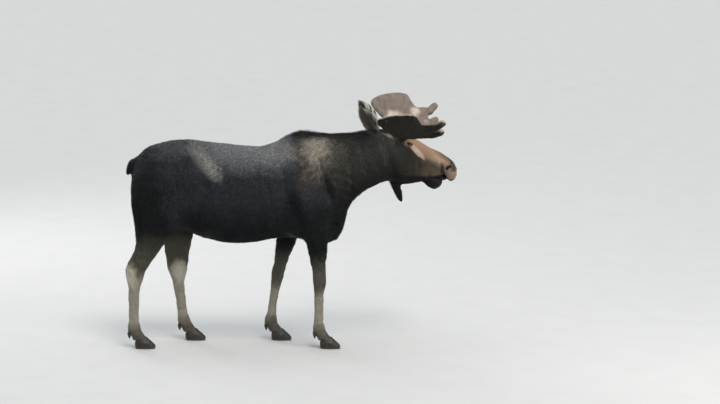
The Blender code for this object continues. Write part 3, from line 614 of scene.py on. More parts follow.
# colours of the coat, shared by the skin and the hair
coatTones = {
    "flank": (0.029, 0.033, 0.039),
    # flankLow: near black; partly the darker underparts, partly painted shade under the top light; also the
    # tone of painted shade in grooves
    "flankLow": (0.006, 0.0075, 0.0085),
    # back: painted sheen of the top light on the back
    "back": (0.192, 0.194, 0.201),
    # hip: painted sheen of the top light on the top of the rump
    "hip": (0.080, 0.081, 0.085),
    "hock": (0.560, 0.530, 0.420),
    # paleSheen: painted highlight, the streak before the hip and the sheen along the back
    "paleSheen": (0.260, 0.250, 0.230),
    "rump": (0.014, 0.015, 0.017),
    "thigh": (0.0050, 0.0065, 0.0070),
    "chest": (0.0080, 0.0100, 0.0105),
    "shoulder": (0.058, 0.052, 0.045),
    # shoulderPale: partly light moulting hair, partly a painted highlight of the top light
    "shoulderPale": (0.400, 0.345, 0.280),
    "neck": (0.052, 0.052, 0.043),
    "neckLow": (0.010, 0.010, 0.009),
    "crest": (0.015, 0.014, 0.015),
    "gaskin": (0.110, 0.103, 0.074),
    "stocking": (0.400, 0.365, 0.295),
    "pastern": (0.120, 0.106, 0.086),
    "cheek": (0.038, 0.033, 0.024),
    "cheekFront": (0.108, 0.079, 0.049),
    "band": (0.150, 0.119, 0.074),
    "nose": (0.350, 0.208, 0.124),
    "noseSide": (0.430, 0.270, 0.185),
    "muzzle": (0.225, 0.155, 0.108),
    "noseTop": (0.130, 0.085, 0.055),
    "lip": (0.270, 0.185, 0.135),
    # streak: partly pale hair, partly a painted highlight on the facial crest's lit edge
    "streak": (0.700, 0.520, 0.390),
    "brow": (0.300, 0.205, 0.150),
    "chin": (0.006, 0.005, 0.005),
    "dark": (0.016, 0.010, 0.008),
    # holeShade: painted shade inside the nostrils and the mouth
    "holeShade": (0.006, 0.003, 0.003),
    "lash": (0.006, 0.005, 0.005),
    "innerEar": (0.030, 0.022, 0.019),
    "earBack": (0.017, 0.016, 0.013),
    "earEdge": (0.520, 0.500, 0.440),
    "cream": (0.300, 0.260, 0.190),
}


def coatColour(paint):
    tone = coatTones
    spot = paint.place()
    x, y, z = paint.parts(spot)
    turn = (x - headTurn["pivot"]).maths("MAXIMUM", x - headTurn["pivot"], 0.0)
    out = abs(y - headTurn["middle"] - turn * headTurn["slope"])
    cloud = paint.noise(spot, 5.0, 3.0) - 0.5
    fleck = paint.noise(spot, 38.0, 2.0) - 0.5
    x2 = x + cloud * 0.16 + fleck * 0.05  # edges of the markings wander a little
    z2 = z + cloud * 0.14 + fleck * 0.05
    ramp, mix = paint.ramp, paint.mix

    def disc(cx, cz, rx, rz, tilt=0.0):  # soft round mark seen from the side
        dx, dz = x2 - cx, z2 - cz
        turned = dx * math.cos(tilt) + dz * math.sin(tilt), dz * math.cos(tilt) - dx * math.sin(tilt)
        return 1 - ramp((turned[0] / rx) ** 2 + (turned[1] / rz) ** 2, 0.0, 1.4)

    def stroke(a, b, wide, soft):  # soft mark from a to b that narrows to its ends
        dx, dz = b[0] - a[0], b[1] - a[1]
        size = math.hypot(dx, dz)
        along = ((x - a[0]) * (dx / size) + (z - a[1]) * (dz / size)) / (size / 2) - 1
        aside = ((x - a[0]) * (dz / size) - (z - a[1]) * (dx / size) + cloud * soft) / (wide + soft)
        far = aside ** 2 + (along / 1.15) ** 2 + fleck * 0.6
        return 1 - ramp(far, 0.9 * wide / (wide + soft), 1.25)

    def put(name, amount):  # one more tone over what is there
        nonlocal colour
        colour = mix(colour, tone[name], amount)

    # darker towards the belly: partly the coat's darker underparts, partly painted shade under the top light
    colour = mix(tone["flankLow"], tone["flank"], ramp(z2, 1.00, 1.36))
    # painted sheen: the top of the back made pale grey where the top light falls
    put("back", ramp(z2, 1.43, 1.66) * (1 - ramp(x2, -0.08, 0.08)) * ramp(x2, -0.86, -0.60))
    put("rump", (1 - ramp(x2, -1.16, -0.96)) * 0.85)
    # painted sheen on the top of the rump
    put("hip", disc(-0.98, 1.72, 0.24, 0.12) * 0.9)
    # painted highlights: a pale streak in the hollow before the hip and a patch of sheen along the middle of
    # the back; worn is a streaky noise along the hair that breaks up these and the shoulder patches
    worn = paint.ramp(streaks(paint, spot, -0.75, 34.0, 3.5), 0.30, 0.70)
    put("paleSheen", stroke((-0.85, 1.74), (-0.59, 1.44), 0.012, 0.058) * (0.40 + worn * 0.45))
    put("paleSheen", disc(-0.66, 1.525, 0.13, 0.060, -0.86) * (0.25 + worn * 0.45))
    put("paleSheen", disc(-0.14, 1.64, 0.24, 0.09) * (0.12 + worn * 0.35))
    thigh = (1 - ramp(x2 + (z2 - 1.2) * 0.35, -0.96, -0.76)) * (1 - ramp(z2, 1.30, 1.56))
    put("thigh", thigh)
    put("flank", disc(-0.98, 1.22, 0.10, 0.22) * 0.5)
    front = ramp(x2, 0.00, 0.12) * ramp(z2, 1.18, 1.48)
    put("shoulder", front * 0.85)
    # painted shade in the hollow behind the triceps
    shadedHollow = stroke((0.00, 1.34), (0.09, 0.98), 0.02, 0.10)
    put("flankLow", shadedHollow * 0.85)
    throat = ramp(x2, 0.33, 0.43)
    neckMix = mix(tone["neckLow"], tone["neck"], ramp(z2 - x2 * 0.30, 1.12, 1.42))
    colour = mix(colour, neckMix, throat)
    # painted shade in the shoulder groove
    put("flankLow", stroke((0.25, 1.54), (0.375, 1.22), 0.006, 0.045) * 0.7)
    # pale patches on the shoulder: partly light moulting hair, partly a painted highlight of the top light
    put("shoulderPale", disc(0.22, 1.66, 0.25, 0.17) * (0.08 + worn * 0.20))
    put("shoulderPale", disc(0.205, 1.685, 0.125, 0.105) * (0.50 + worn * 0.60))
    put("shoulderPale", disc(0.20, 1.56, 0.12, 0.18) * (0.06 + worn * 0.22))
    put("shoulderPale", disc(0.05, 1.67, 0.15, 0.08) * (0.02 + worn * 0.20))
    chest = ramp(x2, 0.08, 0.22) * (1 - ramp(z2, 1.08, 1.32))
    put("chest", chest)
    crest = ramp(z - cloud * 0.05, 1.745, 1.805) * ramp(x, -0.05, 0.05) * (1 - ramp(out, 0.05, 0.12))
    put("crest", crest * (1 - ramp(x, 0.80, 0.86)))
    # legs: black above, grey-brown gaskins, pale hocks and stockings, darker pasterns
    hind = 1 - ramp(x, -0.70, -0.60)
    high = 0.76 * hind + 0.60 * (1 - hind)
    put("gaskin", (1 - ramp(z2 - high, 0.02, 0.26)) * 0.9)
    put("stocking", (1 - ramp(z2 - high, -0.20, -0.06)) * (0.85 + fleck * 0.6))
    hock = disc(-1.350, 0.615, 0.080, 0.13) + disc(-0.950, 0.60, 0.075, 0.12)
    put("hock", hock * 0.95)
    put("pastern", 1 - ramp(z2, 0.10, 0.26))
    # face: dark cheek, a dark band under a slanting line, tan above it
    face = ramp(x2 * 0.8 + (z2 - 1.6) * 0.25, 0.70, 0.80)
    put("cheek", face)
    line = z - 1.668 + (x - 1.029) * 0.52 + fleck * 0.05 + cloud * 0.04
    fore = ramp(x + fleck * 0.06 + cloud * 0.16 - (z - 1.5) * 0.4, 1.00, 1.18)
    put("cheekFront", face * fore * (1 - ramp(line, -0.085, -0.035)))
    put("band", face * ramp(x + cloud * 0.1, 0.97, 1.08) * ramp(line, -0.075, -0.020))
    tan = ramp(line, -0.018, 0.020) * ramp(x + fleck * 0.06 + cloud * 0.10 + out * 0.35, 0.965, 1.045)
    tan = tan * (1 - ramp(z + cloud * 0.05, 1.765, 1.81))
    noseMix = mix(tone["noseSide"], tone["nose"], ramp(line, 0.02, 0.10))
    colour = mix(colour, noseMix, tan)
    put("brow", stroke((0.95, 1.752), (1.01, 1.760), 0.008, 0.014) * 0.8)
    put("cheek", stroke((0.975, 1.700), (1.085, 1.585), 0.014, 0.026) * 0.8)
    put("brow", stroke((1.045, 1.712), (1.190, 1.600), 0.004, 0.016) * 0.55)
    # pale streak along the facial crest: partly pale hair, partly a painted highlight on the crest's lit edge
    put("streak", stroke((1.000, 1.716), (1.116, 1.590), 0.006, 0.0165))
    put("streak", stroke((1.006, 1.712), (1.050, 1.668), 0.006, 0.012) * 0.6)
    # muzzle: dark pad in front and dark upper edge, pinkish lip below, painted shade in the fold behind
    tip = ramp(x + fleck * 0.06 + cloud * 0.05, 1.235, 1.31)
    put("muzzle", tip * 0.85)
    top = ramp(x * 0.62 + z + fleck * 0.02, 2.362, 2.400) * ramp(x, 1.14, 1.28)
    put("noseTop", top * 0.85)
    pad = ramp(x + (z - 1.5) * 0.25 + fleck * 0.06, 1.322, 1.362)
    pad = pad * ramp(z + fleck * 0.04 + cloud * 0.04, 1.425, 1.500)
    put("dark", pad * 0.85)
    lip = ramp(x + fleck * 0.03, 1.285, 1.325) * (1 - ramp(z + fleck * 0.04, 1.465, 1.505))
    put("lip", lip * ramp(z, 1.400, 1.430) * 0.9)
    put("dark", lip * (1 - ramp(z + fleck * 0.02, 1.400, 1.425)) * 0.85)
    # painted shade in the lip fold behind the nostril
    put("dark", stroke((1.262, 1.560), (1.278, 1.40), 0.004, 0.015) * 0.92)
    jaw = ramp(x, 0.86, 1.0) * (1 - ramp(z + (x - 0.96) * 0.055 + fleck * 0.03, 1.440, 1.470))
    put("chin", jaw * (1 - ramp(x, 1.280, 1.295)) * 0.98)
    # ears: dark behind; a cream line runs from the ear to the antler
    isEar = ramp(z, 1.845, 1.870) * (1 - ramp(x, 0.77, 0.79))
    put("earBack", isEar)
    put("cream", stroke((0.68, 1.880), (0.855, 1.770), 0.004, 0.014) * ramp(out, 0.055, 0.080) * 0.75)
    return colour, (x, out, z, spot, fleck)


def streaks(paint, spot, turn, scale, long=6.0):  # a noise drawn out along the hair, seen from the side
    drawn = paint.node("ShaderNodeMapping", {"vector_type": "TEXTURE"},
                       {0: spot, 2: (0.0, turn, 0.0), 3: (long, 1.0, 1.0)})
    return paint.noise(drawn, scale, 3.0)


def skinPaint():
    paint = Paint("mooseHide", 0.60, 0.30)
    colour, (x, out, z, spot, fleck) = coatColour(paint)
    lids = paint.attribute("lid")
    colour = paint.mix(colour, coatTones["dark"], lids)
    # painted shade in the nostrils and mouth, then the ears' own inner and edge colours
    marks = (("shadedHollow", "holeShade", 1.0), ("earInside", "innerEar", 0.8), ("earPale", "earEdge", 0.7))
    for title, tone, amount in marks:
        colour = paint.mix(colour, coatTones[tone], paint.attribute(title) * amount)
    # flat hair drawn out along the flank, down the legs and back over the face
    leg = 1 - paint.ramp(z, 0.85, 1.05)
    head = paint.ramp(x * 0.9 + z * 0.25, 1.12, 1.25)
    body = streaks(paint, spot, -0.60, 260.0)
    hair = body * (1 - leg) + streaks(paint, spot, 1.57, 300.0) * leg
    hair = hair * (1 - head) + streaks(paint, spot, 0.45, 420.0, 4.0) * head
    colour = paint.tinted(colour, 0.70 + hair * 0.70)
    paint.send(colour, "Base Color")
    pores = paint.noise(spot, 420.0, 2.0)
    nose = paint.ramp(x, 1.345, 1.365)
    paint.bump(hair * (1 - nose) + pores * nose * 0.35, 0.005, 0.9)
    paint.send(0.60 - nose * 0.25 - lids * 0.3 + fleck * 0.2, "Roughness")
    return paint.material


def hairPaint(name, rough, edge=None):
    paint = Paint(name, rough, 0.22)
    colour, (x, out, z, spot, fleck) = coatColour(paint)
    if edge:
        colour = paint.mix(colour, edge, paint.attribute("pale"))
    tone, reach = paint.attribute("tone"), paint.attribute("reach")
    # brighter towards the tips: partly paler hair tips, partly painted light that lifts the shade among the
    # tufts
    colour = paint.tinted(colour, (1 + tone * 0.26) * (1.0 + reach * 0.32))
    paint.send(colour, "Base Color")
    paint.send(rough + tone * 0.08, "Roughness")
    paint.bump(paint.noise(spot, 700.0, 1.0), 0.0006, 0.5)
    return paint.material


def lieOf(q, side, normals):
    zone = zones(q)
    x, out, z = q.T
    way = np.tile((-0.80, 0.0, -0.55), (len(q), 1))

    def turnTo(new, mask):
        way[:] += (np.array(new) - way) * mask[:, None]

    turnTo((-1.0, 0.0, -0.06), rise(z, 1.50, 1.74))
    turnTo((-1.0, -0.1, -0.10), 1 - rise(z, 0.93, 1.06))
    turnTo((-0.28, 0.0, -0.96), between(x, 0.02, 0.34, 0.14) * (1 - rise(z, 1.42, 1.66)))
    turnTo((-0.36, 0.0, -0.93), (1 - rise(x, -1.0, -0.76)) * (1 - rise(z, 1.36, 1.62)))
    turnTo((-0.78, 0.0, -0.62), rise(x, 0.36, 0.50))
    turnTo((-1.0, 0.0, 0.0), rise(x, 0.36, 0.50) * rise(z, 1.70, 1.80))
    turnTo((-0.45, 0.0, -0.90), rise(x, 0.36, 0.50) * (1 - rise(z - 0.5 * x, 1.02, 1.16)))
    turnTo((-0.95, 0.0, -0.10), zone["head"])
    turnTo((-0.86, 0.0, 0.44), zone["head"] * rise(z + 0.52 * (x - 1.03), 1.56, 1.70))
    turnTo((-0.05, 0.0, -1.0), 1 - rise(z, 0.80, 1.0))
    turnTo(tuple(ear["way"]), zone["ear"])
    turnTo((0.06, 0.0, -1.0), zone["bell"])
    turnTo((-0.20, 0.0, -1.0), zone["tail"])
    way[:, 1] *= side
    swirl = 0.30 * waves(q * (1, 2, 1), 0.22, 11) + 0.10 * waves(q, 0.05, 12)
    way -= normals * dots(way, normals)
    weak = np.linalg.norm(way, axis=1) < 0.15
    way[weak] += np.array((0, 0, -0.3)) - normals[weak] * normals[weak][:, 2:] * -0.3
    way = unit(way)
    across = np.cross(way, normals)
    return unit(way * np.cos(swirl)[:, None] + across * np.sin(swirl)[:, None])


def hairLength(q):
    zone = zones(q)
    x, out, z = q.T
    length = np.full(len(q), 0.027)
    for value, mask in (
        (0.024, rise(z, 1.55, 1.70) * (1 - rise(x, -0.1, 0.0))),
        (0.034, zone["belly"]),
        (0.031, rise(x, 0.30, 0.45)),
        (0.018, 1 - rise(z, 0.60, 0.95)),
        (0.013, 1 - rise(z, 0.14, 0.40)),
        (0.022, 1 - rise(z, 0.085, 0.105)),
        (0.012, zone["head"]),
        (0.017, zone["head"] * (1 - rise(z + 0.1 * x, 1.50, 1.60))),
        (0.0065, zone["muzzle"]),
        (0.013, 1 - rise(np.linalg.norm(q - ear["root"] - (-0.01, 0, 0.03), axis=1), 0.055, 0.10)),
        (0.014, zone["ear"]),
    ):
        length += (value - length) * mask
    return length


class Hide:  # the finished skin as arrays, for rooting hair in it
    def __init__(self, obj):
        mesh = obj.data
        self.points, self.normals = shapeOf(mesh)
        flat = np.empty(len(mesh.loops), np.int32)
        mesh.loops.foreach_get("vertex_index", flat)
        self.faces = flat.reshape(-1, 3)
        corners = self.points[self.faces]
        self.centres = corners.mean(1)
        self.areas = np.linalg.norm(np.cross(corners[:, 1] - corners[:, 0],
                                             corners[:, 2] - corners[:, 0]), axis=1) / 2
        self.q, self.side = folded(self.centres)
        self.zone = zones(self.q)
        self.tree = BVHTree.FromPolygons(self.points.tolist(), self.faces.tolist())
        self.layout = np.zeros((len(self.faces), 3, 2))
        grid = np.floor((self.centres - self.centres.min(0)) / 0.02).astype(np.int64)
        self.order = np.lexsort((grid[:, 0], grid[:, 1], grid[:, 2]))

    def roots(self, weights, count, chance):  # evenly spread places, as faces and shares
        total = np.cumsum(weights[self.order])
        marks = (np.arange(count) + chance.random(count)) / count * total[-1]
        face = self.order[np.searchsorted(total, marks)]
        a, b = np.sqrt(chance.random(count)), chance.random(count)
        return face, np.stack([1 - a, a * (1 - b), a * b], 1)

    def at(self, values, face, share):
        return (values[self.faces[face]] * share[:, :, None]).sum(1)

    def dropped(self, places):  # the nearest places on the skin, with its soft normals there
        find = self.tree.find_nearest
        hits = [find(place)[0::2] for place in places.tolist()]
        spots = np.array([hit[0] for hit in hits])
        face = np.array([hit[1] for hit in hits])
        return spots, unit(self.normals[self.faces[face]].mean(1))


def layOut(skinObj, regions):  # unwraps each region of the skin over a square of its own
    mesh = skinObj.data.copy()
    flatSkin = only(linked("flatSkin", mesh))
    mesh.uv_layers.new(name="lie")
    flats = []
    for mask in regions:
        mesh.polygons.foreach_set("select", mask)
        mesh.vertices.foreach_set("select", np.zeros(len(mesh.vertices), bool))
        bpy.ops.object.mode_set(mode="EDIT")
        bpy.ops.mesh.select_mode(type="FACE")
        bpy.ops.uv.smart_project(angle_limit=math.radians(60), island_margin=0.004)
        bpy.ops.object.mode_set(mode="OBJECT")
        flat = np.empty(len(mesh.loops) * 2)
        mesh.uv_layers["lie"].data.foreach_get("uv", flat)
        flats.append(flat.reshape(-1, 3, 2)[mask])
    bpy.data.objects.remove(flatSkin)
    bpy.data.meshes.remove(mesh)
    return flats


# patch: size on the laid-out skin; thick: share of the width; sink: how deep the root starts;
# width: least, and share of the length; then how much lengths, widths and heights vary
tuftShape = {"patch": 0.003, "thick": 0.26, "sink": 0.0015, "width": (0.0009, 0.070),
             "lengths": (0.72, 1.22), "widths": (0.75, 1.25), "heights": (0.2, 1.0)}
# shares of the length and of the width at each station, root to tip, and how far each stands up
tuftSteps = {1: ((0.0, 1.0, 0.0), (1.0, 0.0, 1.0)),
             2: ((0.0, 0.60, 0.0), (0.42, 1.0, 0.72), (1.0, 0.0, 1.0)),
             3: ((0.0, 0.55, 0.0), (0.30, 1.0, 0.55), (0.66, 0.80, 0.88), (1.0, 0.0, 1.0))}


def tuftMesh(name, paths, ups, widths, tone, extra, layout):
    # paths: tufts x stations x 3; each tuft is a three-sided lock that ends in a point
    count, stations = paths.shape[:2]
    ways = unit(np.gradient(paths, axis=1)) if stations > 2 else unit(paths[:, 1:] - paths[:, :1])
    ways = np.broadcast_to(ways, paths.shape)
    across = unit(np.cross(ways, ups))
    shares = np.array([s[1] for s in tuftSteps[stations - 1]])
    reach = np.array([s[0] for s in tuftSteps[stations - 1]])
    half = widths[:, None, None] * shares[None, :, None] / 2
    over = np.cross(across, ways)
    left, right = paths - across * half, paths + across * half
    top = paths + over * half * 2 * tuftShape["thick"]
    rings = np.stack([left, top, right], 2)[:, :-1].reshape(count, -1, 3)
    points = np.concatenate([rings, paths[:, -1:]], 1)
    size = points.shape[1]
    quads, tris = [], []
    for r in range(stations - 2):
        a, b = 3 * r, 3 * r + 3
        quads += [(a, a + 1, b + 1, b), (a + 1, a + 2, b + 2, b + 1), (a + 2, a, b, b + 2)]
    a, tip = 3 * (stations - 2), size - 1
    tris += [(a, a + 1, tip), (a + 1, a + 2, tip), (a + 2, a, tip), (0, 2, 1)]
    pattern = np.array([i for face in quads + tris for i in face])
    starts = np.cumsum([0] + [4] * len(quads) + [3] * len(tris))[:-1]
    offsets = np.arange(count)
    loops = (pattern[None] + offsets[:, None] * size).ravel().astype(np.int32)
    loopStarts = (starts[None] + offsets[:, None] * len(pattern)).ravel().astype(np.int32)
    mesh = bpy.data.meshes.new(name)
    mesh.vertices.add(count * size)
    mesh.vertices.foreach_set("co", points.ravel())
    mesh.loops.add(len(loops))
    mesh.loops.foreach_set("vertex_index", loops)
    mesh.polygons.add(len(loopStarts))
    mesh.polygons.foreach_set("loop_start", loopStarts)
    mesh.update(calc_edges=True)
    mesh.polygons.foreach_set("use_smooth", np.ones(len(loopStarts), bool))
    # each tuft is a small patch at its root's place
    local = [((k % 3) / 2, reach[k // 3]) for k in range(size - 1)] + [(0.5, 1.0)]
    local = (np.array(local) - 0.5) * tuftShape["patch"]
    uv = mesh.uv_layers.new(name="OFBake")
    uv.data.foreach_set("uv", (layout[:, None] + local[pattern][None]).ravel())
    up = np.concatenate([np.repeat(reach[:-1], 3), [1.0]])
    kept = {"tone": np.repeat(tone, size), "reach": np.tile(up, count)}
    for title, values in extra.items():
        kept[title] = np.repeat(values, size)
    for title, values in kept.items():
        keep(mesh, title, values)
    return linked(name, mesh)


# steps: joints of each tuft; follow: it is laid along the skin; loose: how much the ways differ
def growCoat(hide, name, flat, mask, density, material, seed, steps=1, slot="coat", longer=1.0,
             wider=1.0, height=1.0, follow=False, way=None, pale=None, loose=0.14):
    chance = np.random.default_rng(seed)
    weights = hide.areas * density * mask
    count = int(weights.sum())
    face, share = hide.roots(weights, count, chance)
    roots = hide.at(hide.points, face, share)
    ups = unit(hide.at(hide.normals, face, share))
    q, side = folded(roots)
    heading = lieOf(q, side, ups) if way is None else way(q, side, ups)
    spin = chance.normal(0, loose, count)[:, None]
    heading = unit(heading * np.cos(spin) + np.cross(heading, ups) * np.sin(spin))
    plain = hairLength(q)
    least, part = tuftShape["width"]
    length = plain * longer * chance.uniform(*tuftShape["lengths"], count)
    width = (least + part * plain) * wider * chance.uniform(*tuftShape["widths"], count)
    stand = coatDepth(q) * height * chance.uniform(*tuftShape["heights"], count)
    clump = 0.5 * waves(q, 0.035, seed + 1) + 0.5 * waves(q, 0.010, seed + 2)
    tone = np.clip(0.6 * chance.normal(0, 1, count) + 0.6 * clump, -2, 2) * 0.7
    stations, lifts = [roots - ups * tuftShape["sink"]], [ups]
    base, normal = roots, ups
    for before, after in zip(tuftSteps[steps], tuftSteps[steps][1:]):
        base = base + heading * (length * (after[0] - before[0]))[:, None]
        if follow:
            base, normal = hide.dropped(base)
            heading = unit(heading - normal * dots(heading, normal))
        stations.append(base + normal * (stand * after[2])[:, None])
        lifts.append(normal)
    inverse = np.full(len(hide.faces), -1)
    inverse[np.flatnonzero(flat[0])] = np.arange(flat[0].sum())
    layout = (flat[1][inverse[face]] * share[:, :, None]).sum(1)
    extra = {} if pale is None else {"pale": pale(q, side, ups)}
    coat = tuftMesh(name, np.stack(stations, 1), np.stack(lifts, 1), width, tone, extra, layout)
    finished(coat, material)
    report(f"{name}: {count} tufts, {count * (6 * steps - 2)} triangles")
    return coat


# short hairs per square metre, their width, then the locks over them
coatPlan = {
    "Rump": (21000, 1.30, 5200), "Barrel": (21000, 1.30, 5200), "Shoulder": (22000, 1.30, 5800),
    "Neck": (23000, 1.30, 6500), "Face": (140000, 1.0, 0), "Foreleg": (58000, 1.25, 0),
    "Hindleg": (58000, 1.25, 0), "Ear": (170000, 1.0, 0), "Bell": (0, 1.0, 0), "Tail": (0, 1.0, 0),
}
# long hair: how many per square metre, and length, width and height against the short hair
longPlan = {
    "mane": (15000, 2.4, 1.3, 1.5), "throat": (7000, 2.0, 1.3, 2.0), "breech": (7000, 1.9, 1.3, 1.6),
    "belly": (5000, 1.6, 1.3, 1.6), "feather": (26000, 1.8, 1.2, 1.5), "bell": (30000, 2.1, 1.2, 1.5),
    "tail": (34000, 1.7, 1.2, 1.5), "rim": (60000, 1.7, 1.0, 1.0), "inner": (60000, 2.8, 0.75, 2.4),
    "locks": (None, 1.25, 1.45, 1.1), "lash": (520000, 1.1, 0.55, 0.3),
}
# where the trunk's regions meet (x), the legs' upper end (z) and their x, and the hooves' edge (z)
coatEdges = {"barrel": -0.62, "shoulder": -0.08, "neck": 0.36, "legTop": 0.93, "hindleg": -0.72,
             "foreleg": -0.30, "between": -0.5, "hoof": 0.074}


def markSkin():  # bare lids, dark hollows, and the inside and rim of the ears
    mesh = skin.data
    points, normals = shapeOf(mesh)
    q, side = folded(points)
    zone = zones(q)
    away = normals * np.stack([np.ones(len(q)), side, np.ones(len(q))], 1)
    marks = {"earInside": rise(away @ ear["open"], 0.05, 0.35) * zone["ear"],
             "earRim": rise(standsOut(mesh, 0.018), 0.0012, 0.0035) * zone["ear"],
             "earPale": earPale(q, side, normals) * zone["ear"]}
    lid = np.zeros(len(q))
    lash = np.zeros(len(q))
    for s in sides.values():
        a, b, d, share = lidPlaces(points, s)
        lid = np.maximum(lid, 1 - rise(share, 1.30, 1.70))
        lash = np.maximum(lash, between(share, 1.05, 1.30, 0.05) * rise(b + 0.2 * a, 0.001, 0.004))
    marks["lid"], marks["lash"] = lid, lash
    # painted shade inside the nostril and in the mouth opening between the lips
    nostril = ((1.303, 0.10, 1.508), (1.313, 0.10, 1.522), (1.333, 0.10, 1.529))
    pit = np.exp(-(nearLine(q * (1, 0, 1) + (0, 0.10, 0), nostril) / 0.0135) ** 4) * rise(q[:, 1], 0.04, 0.06)
    x, out, z = q.T
    mouth = between(x, 1.15, 1.34, 0.01) * between(z, 1.395, 1.47, 0.01) * (1 - rise(out, 0.055, 0.068))
    marks["shadedHollow"] = np.maximum(pit, mouth)
    for title in ("lid", "shadedHollow", "earInside", "earPale"):
        keep(mesh, title, marks[title])
    finished(skin, skinPaint())
    return marks


def earPale(q, side, ups):  # pale hair in streaks along the front edge of the ear
    across, along = (q - ear["root"]) @ ear["across"], (q - ear["root"]) @ ear["way"]
    drawn = np.stack([across, along * 0.12, 0 * along], 1)
    streak = np.clip(0.62 + 0.75 * waves(drawn, 0.012, 51), 0.05, 1)
    return rise(across, 0.018, 0.034) * streak


def innerEarWay(q, side, ups):
    out = ear["way"] * 0.75 + ear["open"] * 0.55 + np.array((-0.35, 0.0, 0.0))
    return unit(np.stack([np.full(len(q), out[0]), out[1] * side, np.full(len(q), out[2])], 1))


def lashWay(q, side, ups):
    way = np.empty_like(q)
    for s in sides.values():
        out, along, up = eyeAxes(s)
        way[side == s] = unit(out * 0.9 + along * 0.25 + up * 0.30)
    return way


def makeCoat(marks):
    hide = Hide(skin)
    x, out, z = hide.q.T
    zone = hide.zone
    on = {title: values[hide.faces].mean(1) for title, values in marks.items()}
    isEar = zone["ear"] > 0.5
    isBell = zone["bell"] > 0.5
    isTail = zone["tail"] > 0.5
    isFace = (zone["head"] > 0.5) & ~isEar & ~isBell
    edge = coatEdges
    isLeg = (z < edge["legTop"]) & ((x < edge["hindleg"]) | (x > edge["foreleg"])) & (zone["belly"] < 0.5)
    rest = ~(isEar | isBell | isTail | isFace | isLeg)
    left = hide.side > 0
    # the lids, nostrils, mouth and what the hooves cover stay bare
    furred = (on["lid"] < 0.5) & (on["shadedHollow"] < 0.4) & (z > edge["hoof"])
    parts = {
        "Rump": rest & (x < edge["barrel"]),
        "Barrel": rest & (x >= edge["barrel"]) & (x < edge["shoulder"]),
        "Shoulder": rest & (x >= edge["shoulder"]) & (x < edge["neck"]),
        "Neck": rest & (x >= edge["neck"]),
        "Face": isFace,
        "Foreleg": isLeg & (x > edge["between"]),
        "Hindleg": isLeg & (x <= edge["between"]),
        "Ear": isEar,
    }
    regions = {}
    for part, mask in parts.items():
        for name, here in (("Left", left), ("Right", ~left)):
            regions[part + name] = mask & here
    regions["Bell"] = isBell
    regions["Tail"] = isTail
    flats = dict(zip(regions, layOut(skin, list(regions.values()))))
    report("skin laid flat for the tufts")
    coat = hairPaint("summerCoat", 0.48)
    face = hairPaint("faceHair", 0.52)
    earHair = hairPaint("earHair", 0.6, coatTones["earEdge"])
    dark = hairPaint("darkLashes", 0.4, coatTones["lash"])
    for k, (title, mask) in enumerate(regions.items()):
        part = title.replace("Left", "").replace("Right", "")
        short, wide, locks = coatPlan[part]
        common = {"hide": hide, "flat": (mask, flats[title]), "seed": 100 + 20 * k}
        isLegPart = "leg" in part
        slot = "leg_coat" if isLegPart else "face_coat" if part in ("Face", "Ear") else "coat"
        hair = face if part == "Face" else earHair if part == "Ear" else coat

        def grow(name, here, density, **settings):
            settings = {**common, "slot": slot, **settings}
            settings["seed"] += len(name)
            if (here & mask).sum() > 10:
                growCoat(name=name + title, mask=mask & here, density=density * furred,
                         material=hair, **settings)

        def growLong(name, here, kind, many=None, steps=3, follow=True, **settings):
            density, longer, wider, height = longPlan[kind]
            grow(name, here, many or density, steps=steps, follow=follow, longer=longer, wider=wider,
                 height=height, **settings)

        if part == "Ear":
            grow("coat", on["earInside"] < 0.6, short, pale=earPale)
            growLong("rim", on["earRim"] > 0.35, "rim", steps=2, follow=False,
                     pale=lambda *at: 0.35 + 0.6 * earPale(*at))
            growLong("inner", on["earInside"] >= 0.5, "inner", follow=False, loose=0.16, way=innerEarWay,
                     pale=lambda *at: 0.25 + 0.75 * earPale(*at))
            continue
        if short:
            grow("coat", mask, short, wider=wide)
        if part in ("Bell", "Tail"):
            growLong("coat", mask, part.lower())
        elif locks:
            growLong("locks", mask, "locks", locks, steps=2, follow=False)
        if part in ("Shoulder", "Neck"):
            growLong("mane", zone["crest"] > 0.35, "mane", loose=0.22)
            growLong("fringe", (z - 0.45 * x < 1.22) & (x > 0.18) & (out < 0.11), "throat")
        if part == "Rump":
            growLong("fringe", (x < -1.24) & (z < 1.30), "breech")
        if part in ("Barrel", "Shoulder"):
            growLong("belly", zone["belly"] > 0.6, "belly")
        if isLegPart:
            growLong("feather", (z > 0.10) & (z < 0.22), "feather")
        if part == "Face":
            density, longer, wider, height = longPlan["lash"]
            settings = {**common, "slot": "face_coat", "seed": 900 + k}
            growCoat(name="lash" + title, mask=mask & (on["lash"] > 0.4), density=density * np.ones(len(x)),
                     material=dark, steps=2, longer=longer, wider=wider, height=height, loose=0.12,
                     way=lashWay, pale=lambda q, side, ups: np.ones(len(q)), **settings)
    return hide


makeCoat(markSkin())


# the tongue: place as x and z, half sizes, height and length of its bumps, depth and width of its groove
mouthShape = {"place": (1.228, 1.440), "size": (0.086, 0.050, 0.034), "tilt": math.radians(17),
              "bumps": (0.0016, 0.02), "groove": (0.006, 0.008), "colour": (0.014, 0.007, 0.006)}


